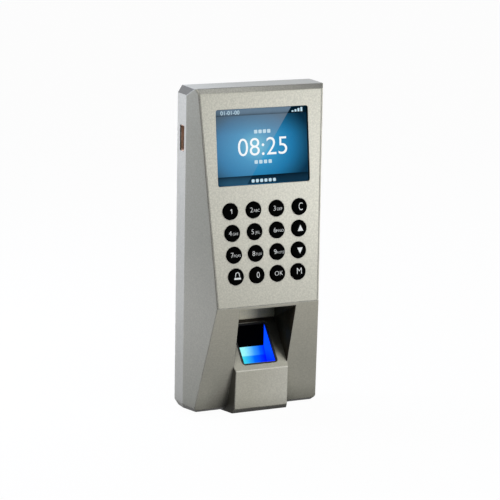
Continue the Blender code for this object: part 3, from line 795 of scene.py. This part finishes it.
# Key legends
LEGENDS = {
    "key_2": ("2", "ABC"),
    "key_3": ("3", "DEF"),
    "key_4": ("4", "GHI"),
    "key_5": ("5", "JKL"),
    "key_6": ("6", "MNO"),
    "key_7": ("7", "PQRS"),
    "key_8": ("8", "TUV"),
    "key_9": ("9", "WXYZ"),
    "key_0": ("0", ""),
    "key_clear": ("C", ""),
    "key_ok": ("OK", ""),
    "key_menu": ("M", ""),
}
FIGURE_SIZE = 4.1 * MM
FIGURE_SIZES = {"C": 6.5 * MM, "OK": 3.8 * MM, "M": 5.4 * MM, "0": 5.1 * MM}
FIGURE_WIDTHS = {"C": 0.66, "M": 0.92, "0": 0.88}
FIGURE_RISES = {"C": -0.12 * MM, "M": 0.25 * MM}
FIGURE_RIGHT = 0.4 * MM
FIGURE_BESIDE_LETTERS = -1.7 * MM
FIGURE_THIN = 0.055 * MM
LETTERS_SIZE_BY_COUNT = {3: 2.3 * MM, 4: 2.05 * MM}
LETTERS_RIGHT = 1.45 * MM
LETTERS_RISE = -0.45 * MM
LETTERS_THIN = 0.028 * MM
LETTERS_WIDTH = 0.9
PRINT_LIFT = 0.02 * MM


def key_words(name, text, key, size, right, rise, thin, narrow):
    """Raised print on a key."""
    spot = on_panel(face_centre(key, OUT), right, rise, PRINT_LIFT)
    words(name, text, size, spot, legend_white_glow, key, thin, narrow)


for key, (figure, letters) in LEGENDS.items():
    size = FIGURE_SIZES.get(figure, FIGURE_SIZE)
    right = FIGURE_BESIDE_LETTERS if letters else FIGURE_RIGHT
    rise = FIGURE_RISES.get(figure, 0.0)
    key_words(f"legend_{key}", figure, key, size, right, rise, FIGURE_THIN, FIGURE_WIDTHS.get(figure, 1.0))
    if letters:
        size = LETTERS_SIZE_BY_COUNT[len(letters)]
        key_words(
            f"letters_{key}", letters, key, size, LETTERS_RIGHT, LETTERS_RISE, LETTERS_THIN, LETTERS_WIDTH
        )


# Key symbols, with outlines in millimetres about the symbol's middle
FIGURE_ONE = (
    (0.27, -1.2), (0.27, 1.45), (-0.1, 1.45), (-0.8, 0.95), (-0.8, 0.55), (-0.12, 0.9), (-0.12, -1.2)
)
ARROW = ((-1.8, -1.5), (1.8, -1.5), (0.0, 2.1))
BELL_TOP = ((0.0, 2.5), (0.55, 2.3))
BELL_SHOULDER = (0.55, 0.9)
BELL_SHOULDER_REACH = (0.9, 1.3)
BELL_SHOULDER_TURNS = (0.35, 0.7, 1.05, 1.4)
BELL_MOUTH = ((1.6, -0.5), (2.2, -1.4), (2.2, -2.1))
BELL_SHARE = 0.95
BELL_HOLLOW_SHARE = 0.66
BELL_HOLLOW_RISE = 0.42
ONE_RIGHT = 0.35 * MM
SYMBOL_RIGHT = 0.5 * MM
SYMBOL_THICK = 0.06 * MM
BELL_RISE = 0.45 * MM
HOLLOW_LIFT = 0.01 * MM
HOLLOW_THICK = 0.08 * MM


def key_symbol(name, outline, key, right, rise=0.0, lift=0.0, thick=SYMBOL_THICK, material=legend_white_glow):
    """A thin raised shape on a key."""
    bm = bmesh.new()
    face = bm.faces.new([bm.verts.new((x * MM, y * MM, 0.0)) for x, y in outline])
    thicken(bm, [face], (0.0, 0.0, thick))
    piece(name, bm, material, key, on_panel(face_centre(key, OUT), right, rise, lift))


def bell_outline():
    """The right half of a bell and its mirror."""
    middle, level = BELL_SHOULDER
    wide, tall = BELL_SHOULDER_REACH
    side = list(BELL_TOP)
    side += [(middle + wide * math.sin(a), level + tall * math.cos(a)) for a in BELL_SHOULDER_TURNS]
    side += BELL_MOUTH
    mirrored = [(-x, y) for x, y in reversed(side) if x > 0.0]
    return [(x * BELL_SHARE, y * BELL_SHARE) for x, y in side + mirrored]


bell = bell_outline()
hollow = [(x * BELL_HOLLOW_SHARE, y * BELL_HOLLOW_SHARE + BELL_HOLLOW_RISE) for x, y in bell]
key_symbol("legend_key_1", FIGURE_ONE, "key_1", ONE_RIGHT)
for key, sign in (("key_up", 1.0), ("key_down", -1.0)):
    key_symbol(f"legend_{key}", [(x, y * sign) for x, y in ARROW], key, SYMBOL_RIGHT)
key_symbol("legend_bell", bell, "key_bell", SYMBOL_RIGHT, BELL_RISE)
key_symbol(
    "legend_bell_inside", hollow, "key_bell", SYMBOL_RIGHT, BELL_RISE, HOLLOW_LIFT, HOLLOW_THICK, key_gloss
)


# Display: a lit face with bars, digits and plain marks under the clear cover
screen_low, screen_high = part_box("screen_window")
glass_front = face_centre("lcd_glass", OUT)
SCREEN_WIDE = screen_high.x - screen_low.x
SCREEN_TALL = SCREEN_WIDE * 3 / 4
SCREEN_GRAIN = 2600.0
SCREEN_SHADES = (0.95, 1.04)
SHEEN_SLANT = 0.68
SHEEN_MIDDLE = 4.8 * MM
SHEEN_BLUR = 0.2 * MM
VEIL_COLOUR = (0.34, 0.37, 0.39)
VEIL_UPWARD = (0.065, 0.28)
VEIL_ACROSS = (0.82, 1.35)
GLOW_LEFT = 4.0 * MM
GLOW_REACH = (SCREEN_WIDE * 0.625, SCREEN_TALL * 0.66)
GLOW_TONES = (
    (0.0, (0.17, 0.58, 0.78)),
    (0.32, (0.04, 0.30, 0.56)),
    (0.64, (0.016, 0.19, 0.40)),
    (0.87, (0.0085, 0.083, 0.17)),
    (1.0, (0.003, 0.032, 0.07)),
)
DIM_SPAN = (SCREEN_TALL * 0.16, SCREEN_TALL * 0.42)
DIM_TONES = ((0.0, WHITE), (1.0, (0.62, 0.60, 0.58)))
FACE_OVERHANG = 1.2 * MM
FACE_THICK = 0.14 * MM
FACE_ROUND = 1.0 * MM
FACE_LIFT = 0.12 * MM
BAR_OVERHANG = 0.8 * MM
BAR_ROUND = 0.2 * MM
BAR_LIFT = 0.22 * MM
BAR_GRAIN = 300.0
BAR_GRAIN_DARK = 0.93
BAR_LEFT_END = (-0.52 * SCREEN_WIDE, -0.36 * SCREEN_WIDE)
BAR_LEFT_DARK = 0.62
TOP_BAR = 3.7 * MM
LOW_BAR = 4.9 * MM
TOP_MIDDLE = SCREEN_TALL / 2 - TOP_BAR / 2
LOW_MIDDLE = -SCREEN_TALL / 2 + LOW_BAR / 2
FADE_DOWN = ((0.0, (0.40, 0.40, 0.40)), (0.3, (0.95, 0.95, 0.95)), (0.6, (1.08, 1.08, 1.08)))
FADE_UP = ((0.3, WHITE), (0.7, (0.7, 0.7, 0.7)), (1.0, (0.3, 0.3, 0.3)))
SLAB_STEPS = 5
TEXT_GRAIN = 900.0
TEXT_DARK = 0.95
MARK_LIFT = 0.28 * MM
MARK_THICK = 0.04 * MM
TIME_SIZE = 14.7 * MM
TIME_PLACE = (0.8 * MM, -0.9 * MM)
TIME_THIN = 0.08 * MM
DATE_SIZE = 3.3 * MM
DATE_PLACE = (-19.3 * MM, TOP_MIDDLE - 0.1 * MM)
SIGNAL_BARS = 4
SIGNAL_LEFT = 20.3 * MM
SIGNAL_PITCH = 1.9 * MM
SIGNAL_WIDE = 1.2 * MM
SIGNAL_LEAST = 0.8 * MM
SIGNAL_STEP = 0.55 * MM
SIGNAL_ROUND = 0.12 * MM
SIGNAL_FOOT = TOP_MIDDLE - 1.2 * MM
ROW_RIGHT = 0.6 * MM
MARK_SIZE = 2.1 * MM
MARK_ROUND = 0.45 * MM
DOT_SIZE = 1.9 * MM
DOT_ROUND = 0.6 * MM
DOT_HEIGHT = LOW_MIDDLE - 0.7 * MM


def sheen(look, x, y, rise=0.0):
    """1 to the left of the pale slanted light drawn across the display, 0 to its right."""
    slant = look.operate("SUBTRACT", x, look.product(look.operate("ADD", y, rise), SHEEN_SLANT))
    return look.span(slant, 1.0, 0.0, SHEEN_MIDDLE - SHEEN_BLUR, SHEEN_MIDDLE + SHEEN_BLUR)


def display_material():
    """A blue glow that fades towards the corners, with a pale veil left of the slanted light."""
    look = glowing("display_glow")
    x, y, _ = look.axes()
    far_x = look.operate("DIVIDE", look.operate("ADD", x, GLOW_LEFT), GLOW_REACH[0])
    far_y = look.operate("DIVIDE", y, GLOW_REACH[1])
    reach = look.operate("ADD", look.product(far_x, far_x), look.product(far_y, far_y))
    glow = look.ramp(look.operate("POWER", reach, 0.5), *GLOW_TONES)
    glow = look.layered(glow, look.ramp(look.span(y, 0.0, 1.0, *DIM_SPAN), *DIM_TONES))
    veil = look.product(
        sheen(look, x, y),
        look.span(y, *VEIL_UPWARD, -SCREEN_TALL / 2, SCREEN_TALL / 2),
        look.span(x, *VEIL_ACROSS, -SCREEN_WIDE / 2, SCREEN_WIDE / 4),
    )
    glow = look.mix(veil, glow, VEIL_COLOUR)
    grain = look.grey(look.noise(SCREEN_GRAIN, detail=1.0), *SCREEN_SHADES)
    look.link(look.layered(glow, grain), "Emission Color")
    return look.material


def bar_material(name, pale, dark, middle, half, fade):
    """A bar that is pale under the slanted light and dark beyond it, shaded across its height."""
    look = glowing(name)
    x, y, _ = look.axes()
    grain = look.grey(look.noise(BAR_GRAIN), BAR_GRAIN_DARK, 1.0)
    shade = look.ramp(look.span(y, 0.0, 1.0, -half, half), *fade)
    left = look.grey(look.span(x, 0.0, 1.0, *BAR_LEFT_END), BAR_LEFT_DARK, 1.0, 0.0, 1.0)
    tone = look.mix(sheen(look, x, y, middle), dark, pale)
    look.link(look.layered(tone, look.layered(grain, shade, left)), "Emission Color")
    return look.material


def text_material(name, colour, strength):
    """Lit print on the display."""
    look = glowing(name, strength)
    grain = look.noise(TEXT_GRAIN, detail=1.0)
    look.link(look.ramp(grain, *zip(NOISE_RANGE, shades(colour, TEXT_DARK, 1.0))), "Emission Color")
    return look.material


def display_slab(name, size, radius, material, right=0.0, up=0.0, lift=MARK_LIFT, thick=MARK_THICK):
    """A thin slab with rounded corners on the display."""
    bm = bmesh.new()
    bmesh.ops.create_cube(bm, size=1.0)
    bmesh.ops.scale(bm, vec=(*size, thick), verts=bm.verts[:])
    upright = [e for e in bm.edges if abs(e.verts[0].co.z - e.verts[1].co.z) > thick / 2]
    bmesh.ops.bevel(bm, geom=upright, offset=radius, segments=SLAB_STEPS, profile=0.5, affect="EDGES")
    piece(name, bm, material, matrix=on_panel(glass_front, right, up, lift))


def display_bar(name, tall, middle, material):
    """A bar across the whole display."""
    display_slab(name, (SCREEN_WIDE + BAR_OVERHANG, tall), BAR_ROUND, material, up=middle, lift=BAR_LIFT)


def display_words(name, text, size, spot, material, thin=0.0):
    """Raised print on the display."""
    words(name, text, size, on_panel(glass_front, *spot, MARK_LIFT), material, thin=thin)


def mark_row(name, count, pitch, height, size, radius):
    """A centred row of plain marks."""
    for index in range(count):
        right = (index - (count - 1) / 2) * pitch + ROW_RIGHT
        display_slab(f"{name}_{index + 1}", (size, size), radius, mark_pale, right, height)


digit_white = text_material("digit_white", (0.97, 0.99, 1.0), strength=1.0)
mark_pale = text_material("mark_pale", (0.62, 0.82, 0.93), strength=0.9)
bar_grey = bar_material(
    "bar_grey", pale=(0.125, 0.19, 0.26), dark=(0.0, 0.009, 0.019),
    middle=TOP_MIDDLE, half=TOP_BAR / 2, fade=FADE_DOWN,
)
bar_dark = bar_material(
    "bar_dark", pale=(0.020, 0.080, 0.145), dark=(0.005, 0.030, 0.060),
    middle=LOW_MIDDLE, half=LOW_BAR / 2, fade=FADE_UP,
)
face_size = (SCREEN_WIDE + FACE_OVERHANG, SCREEN_TALL + FACE_OVERHANG)
display_slab("display_face", face_size, FACE_ROUND, display_material(), lift=FACE_LIFT, thick=FACE_THICK)
display_bar("display_top_bar", TOP_BAR, TOP_MIDDLE, bar_grey)
display_bar("display_low_bar", LOW_BAR, LOW_MIDDLE, bar_dark)
display_words("display_time", "08:25", TIME_SIZE, TIME_PLACE, digit_white, TIME_THIN)
display_words("display_date", "01-01-00", DATE_SIZE, DATE_PLACE, mark_pale)
for index in range(SIGNAL_BARS):
    tall = SIGNAL_LEAST + SIGNAL_STEP * index
    right = SIGNAL_LEFT + SIGNAL_PITCH * index
    up = SIGNAL_FOOT + tall / 2
    display_slab(f"display_signal_{index + 1}", (SIGNAL_WIDE, tall), SIGNAL_ROUND, mark_pale, right, up)
mark_row("display_mark_1", count=4, pitch=2.75 * MM, height=8.3 * MM, size=MARK_SIZE, radius=MARK_ROUND)
mark_row("display_mark_2", count=4, pitch=2.95 * MM, height=-9.1 * MM, size=MARK_SIZE, radius=MARK_ROUND)
mark_row("display_dot", count=6, pitch=2.7 * MM, height=DOT_HEIGHT, size=DOT_SIZE, radius=DOT_ROUND)


# Finger window: the prism's dark back and left side, lit floor and blue right side, seen from above
LIT_HALF = 10.2 * MM
LIT_STEP = (28.6 * MM, 29.2 * MM)
LIT_GRAIN = 800.0
LIT_SHADES = (0.96, 1.03)
LIT_TOP_TONES = (
    (0.0, (0.36, 0.99, 0.96)),
    (0.34, (0.33, 0.95, 0.98)),
    (0.66, (0.04, 0.33, 1.0)),
    (0.85, (0.0, 0.11, 1.0)),
    (1.0, (0.0, 0.01, 1.0)),
)
LIT_LOW_TONES = (
    (0.0, (0.07, 0.97, 0.86)),
    (0.28, (0.05, 0.70, 0.84)),
    (0.62, (0.0, 0.14, 1.0)),
    (0.85, (0.0, 0.035, 1.0)),
    (1.0, (0.0, 0.0, 1.0)),
)
SIDE_STRENGTH = 1.6
SIDE_GRAIN = 600.0
SIDE_SHADES = (0.95, 1.03)
SIDE_SPAN = (27.0 * MM, 46.0 * MM)
SIDE_TONES = ((0.0, (0.0, 0.02, 0.98)), (0.3, (0.001, 0.052, 0.97)), (1.0, (0.001, 0.050, 0.96)))
FLAT_ANGLE = 0.01
TOP_FACING = 0.95
SIDE_FACING = 0.8
BACK_FACING = 0.98
PRISM_DARK, PRISM_LIT, PRISM_SIDE = range(3)


def prism_shell():
    """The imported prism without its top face, so that its lit inner faces show."""
    bm = bmesh.new()
    bm.from_mesh(NODES["scanner_prism"].data)
    slope = Vector(PLATFORM_OUT).normalized()
    bmesh.ops.dissolve_limit(bm, angle_limit=FLAT_ANGLE, verts=bm.verts[:], edges=bm.edges[:])
    tops = [face for face in bm.faces if face.normal.dot(slope) > TOP_FACING]
    bmesh.ops.delete(bm, geom=tops, context="FACES_ONLY")
    return bm


def lit_material():
    """Cyan to blue across the prism's floor, deeper along its lower end."""
    look = glowing("prism_lit")
    across = look.across(-LIT_HALF, LIT_HALF)
    low = look.ramp(across, *LIT_LOW_TONES)
    top = look.ramp(across, *LIT_TOP_TONES)
    tone = look.mix(look.upward(*LIT_STEP), low, top)
    look.link(look.layered(tone, look.grey(look.noise(LIT_GRAIN), *LIT_SHADES)), "Emission Color")
    return look.material


def side_material():
    """Strong blue on the prism's right side."""
    look = glowing("prism_side", SIDE_STRENGTH)
    tone = look.ramp(look.upward(*SIDE_SPAN), *SIDE_TONES)
    look.link(look.layered(tone, look.grey(look.noise(SIDE_GRAIN), *SIDE_SHADES)), "Emission Color")
    return look.material


shell = piece("prism_inside", prism_shell(), prism_black)
shell.data.materials.append(lit_material())
shell.data.materials.append(side_material())
for polygon in shell.data.polygons:
    sideways = abs(polygon.normal.x) > SIDE_FACING
    left = sideways and polygon.center.x < 0.0
    if left or abs(polygon.normal.y) > BACK_FACING:
        polygon.material_index = PRISM_DARK
    else:
        polygon.material_index = PRISM_SIDE if sideways else PRISM_LIT
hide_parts("scanner_prism")


# Dark sheets on the finger recess's side walls and along its back, as painted shade, and the brown lining of
# the side port, painted pale as light
WALL_FACING = 0.97
WALL_PLACES = (15.0 * MM, 20.0 * MM)
WALL_HEIGHTS = (BASE + 30.0 * MM, BASE + 63.8 * MM)
SHEET_GAP = 0.03 * MM
SHEET_THICK = 0.08 * MM
SHADE_STRIP_HALF = 16.8 * MM
SHADE_STRIP_SECTION = (
    (0.05 * MM, 0.05 * MM),
    (1.9 * MM, 0.05 * MM),
    (1.85 * MM, 0.2 * MM),
    (0.25 * MM, 0.4 * MM),
    (0.05 * MM, 0.55 * MM),
)
LINING_ENDS = (-42.5 * MM, -41.0 * MM)
LINING_SHRINK = 0.9 * MM
ROUND_STEPS = 4


def is_recess_wall(face, side):
    """Whether a face of the housing is part of the finger recess's left or right wall."""
    middle = face.calc_center_median()
    beside = WALL_PLACES[0] < middle.x * side < WALL_PLACES[1]
    level = WALL_HEIGHTS[0] < middle.z < WALL_HEIGHTS[1]
    return face.normal.x * side <= -WALL_FACING and beside and level and middle.y <= -RECESS_BACK


def wall_shade_sheet(side):
    """The recess's side wall, copied from the housing and grown to a thin dark sheet in front of it, as
    painted shade.
    """
    bm = bmesh.new()
    bm.from_mesh(NODES["front_housing"].data)
    others = [face for face in bm.faces if not is_recess_wall(face, side)]
    bmesh.ops.delete(bm, geom=others, context="FACES")
    for vert in bm.verts:
        vert.co.x -= side * SHEET_GAP
    thicken(bm, bm.faces[:], (-side * SHEET_THICK, 0.0, 0.0))
    return bm


def recess_shade_strip():
    """A dark strip on the platform along the foot of the recess's back wall, as painted shade in that corner.
    """
    along = Vector((0.0, -1.0, -PLATFORM_RISE)).normalized()
    normal = Vector(PLATFORM_OUT).normalized()
    root = Vector((0.0, -RECESS_BACK, BASE + PLATFORM_LEVEL - PLATFORM_RISE * RECESS_BACK))
    bm = bmesh.new()
    rings = []
    for x in (-SHADE_STRIP_HALF, SHADE_STRIP_HALF):
        spots = [root + along * down + normal * out + RIGHT * x for down, out in SHADE_STRIP_SECTION]
        rings.append([bm.verts.new(spot) for spot in spots])
    join_rings(bm, *rings)
    for ring in rings:
        bm.faces.new(ring)
    return bm


def ring_points(width, tall, radius):
    """Points of a rounded rectangle about the origin."""
    points = []
    for turn, (sx, sy) in enumerate(((1, 1), (-1, 1), (-1, -1), (1, -1))):
        middle = (sx * (width / 2 - radius), sy * (tall / 2 - radius))
        for step in range(ROUND_STEPS + 1):
            angle = math.pi / 2 * (turn + step / ROUND_STEPS)
            points.append((middle[0] + radius * math.cos(angle), middle[1] + radius * math.sin(angle)))
    return points


def port_lining():
    """A short sleeve just inside the side port, in the brown seen there, made pale as painted light."""
    bm = bmesh.new()
    loops = []
    mouth, inside = LINING_ENDS
    for x, shrink in ((mouth, 0.0), (inside, 0.0), (inside, LINING_SHRINK), (mouth, LINING_SHRINK)):
        outline = ring_points(PORT_SIZE[0] - shrink, PORT_SIZE[1] - shrink, PORT_ROUND)
        loops.append([bm.verts.new((x, PORT_PLACE[0] + a, PORT_PLACE[1] + b)) for a, b in outline])
    for first, second in zip(loops, loops[1:] + loops[:1]):
        join_rings(bm, first, second)
    return bm


for side, name in ((-1, "recess_shade_left"), (1, "recess_shade_right")):
    piece(name, wall_shade_sheet(side), recess_shade_black)
piece("recess_shade_strip", recess_shade_strip(), recess_shade_black)
piece("port_lining", port_lining(), lit_lining_brown)


# Stage, light and camera
SEEN_RAYS = ("Is Camera Ray", "Is Glossy Ray", "Is Transmission Ray")
AMBIENT = 0.04
AMBIENT_COLOUR = (0.97, 0.98, 1.0, 1.0)
PLAIN_WHITE = (1.0, 1.0, 1.0, 1.0)
FLOOR_DIM = (0.15, 0.15, 0.15, 1.0)
FLOOR_PALE = (0.9, 0.9, 0.9, 1.0)
FLOOR_GLOW = 0.975
FLOOR_SIZE = 6.0
FLOOR_GAP = 0.5 * MM


def seen_mask(nodes, links):
    """1 for the rays that show a surface, 0 for those that only light others."""
    path = nodes.new("ShaderNodeLightPath")
    total = path.outputs[SEEN_RAYS[0]]
    for kind in SEEN_RAYS[1:]:
        join = nodes.new("ShaderNodeMath")
        join.operation = "MAXIMUM"
        links.new(total, join.inputs[0])
        links.new(path.outputs[kind], join.inputs[1])
        total = join.outputs[0]
    return total


def blended(nodes, links, share, first, second):
    """Two shaders, mixed by a share."""
    node = nodes.new("ShaderNodeMixShader")
    for socket, source in zip(node.inputs, (share, first.outputs[0], second.outputs[0])):
        links.new(source, socket)
    return node.outputs[0]


def studio_world():
    """Plain white where it is seen, and a faint even light on everything else."""
    world = bpy.data.worlds.new("studio")
    world.use_nodes = True
    nodes = world.node_tree.nodes
    links = world.node_tree.links
    faint = nodes["Background"]
    faint.inputs["Color"].default_value = AMBIENT_COLOUR
    faint.inputs["Strength"].default_value = AMBIENT
    plain = nodes.new("ShaderNodeBackground")
    plain.inputs["Color"].default_value = PLAIN_WHITE
    plain.inputs["Strength"].default_value = 1.0
    surface = blended(nodes, links, seen_mask(nodes, links), faint, plain)
    links.new(surface, nodes["World Output"].inputs["Surface"])
    return world


def floor_material():
    """Plain pale floor: seen almost white with a faint shadow, and dim in the light that it throws back."""
    material = bpy.data.materials.new("studio_floor")
    material.use_nodes = True
    nodes = material.node_tree.nodes
    links = material.node_tree.links
    nodes.remove(nodes["Principled BSDF"])
    seen = seen_mask(nodes, links)
    tone = nodes.new("ShaderNodeMix")
    tone.data_type = "RGBA"
    tone.inputs[MIX_FIRST].default_value = FLOOR_DIM
    tone.inputs[MIX_SECOND].default_value = FLOOR_PALE
    links.new(seen, tone.inputs[MIX_SHARE])
    matt = nodes.new("ShaderNodeBsdfDiffuse")
    links.new(tone.outputs[MIX_RESULT], matt.inputs["Color"])
    bright = nodes.new("ShaderNodeEmission")
    bright.inputs["Color"].default_value = PLAIN_WHITE
    share = nodes.new("ShaderNodeMath")
    share.operation = "MULTIPLY"
    share.inputs[1].default_value = FLOOR_GLOW
    links.new(seen, share.inputs[0])
    surface = blended(nodes, links, share.outputs[0], matt, bright)
    links.new(surface, nodes["Material Output"].inputs["Surface"])
    return material


def softbox(name, spot, power, size, colour=WHITE):
    """A rectangular lamp that points at the origin."""
    light = bpy.data.lights.new(name, "AREA")
    light.shape = "RECTANGLE"
    light.size, light.size_y = size
    light.energy = power
    light.color = colour
    lamp = bpy.data.objects.new(name, light)
    lamp.location = spot
    lamp.rotation_euler = (-Vector(spot)).to_track_quat("-Z", "Y").to_euler()
    bpy.context.scene.collection.objects.link(lamp)


bpy.context.scene.world = studio_world()
floor_grid = bmesh.new()
bmesh.ops.create_grid(floor_grid, x_segments=1, y_segments=1, size=FLOOR_SIZE)
floor_mesh = bpy.data.meshes.new("floor")
floor_grid.to_mesh(floor_mesh)
floor_grid.free()
floor_mesh.materials.append(floor_material())
floor = bpy.data.objects.new("floor", floor_mesh)
floor.location.z = cad_box[0][2] - FLOOR_GAP
bpy.context.scene.collection.objects.link(floor)

softbox("key_light", spot=(0.53, -0.79, 0.08), power=3.7, size=(0.42, 0.20))
softbox("top_light", spot=(0.22, -0.46, 0.73), power=1.95, size=(0.5, 0.4))
softbox("side_light", spot=(-0.38, 0.24, 0.10), power=2.4, size=(0.15, 0.20), colour=(0.79, 0.83, 1.0))
softbox("back_light", spot=(-0.03, 0.33, 0.55), power=2.6, size=(0.4, 0.3), colour=(0.66, 0.74, 1.0))

camera = bpy.data.cameras.new("camera")
camera.sensor_width = SENSOR
camera.lens = LENS
camera.shift_x, camera.shift_y = SHIFT
viewer = bpy.data.objects.new("camera", camera)
outward = Vector((math.sin(AZIMUTH), -math.cos(AZIMUTH), 0.0))
away = outward * math.cos(ELEVATION) + Vector((0.0, 0.0, math.sin(ELEVATION)))
upright_turn = (-away).to_track_quat("-Z", "Y").to_matrix().to_4x4()
viewer.location = TARGET + away * DISTANCE
viewer.rotation_mode = "QUATERNION"
viewer.rotation_quaternion = (upright_turn @ Matrix.Rotation(ROLL, 4, "Z")).to_quaternion()
bpy.context.scene.collection.objects.link(viewer)
bpy.context.scene.camera = viewer
bpy.context.scene.view_settings.view_transform = "Standard"
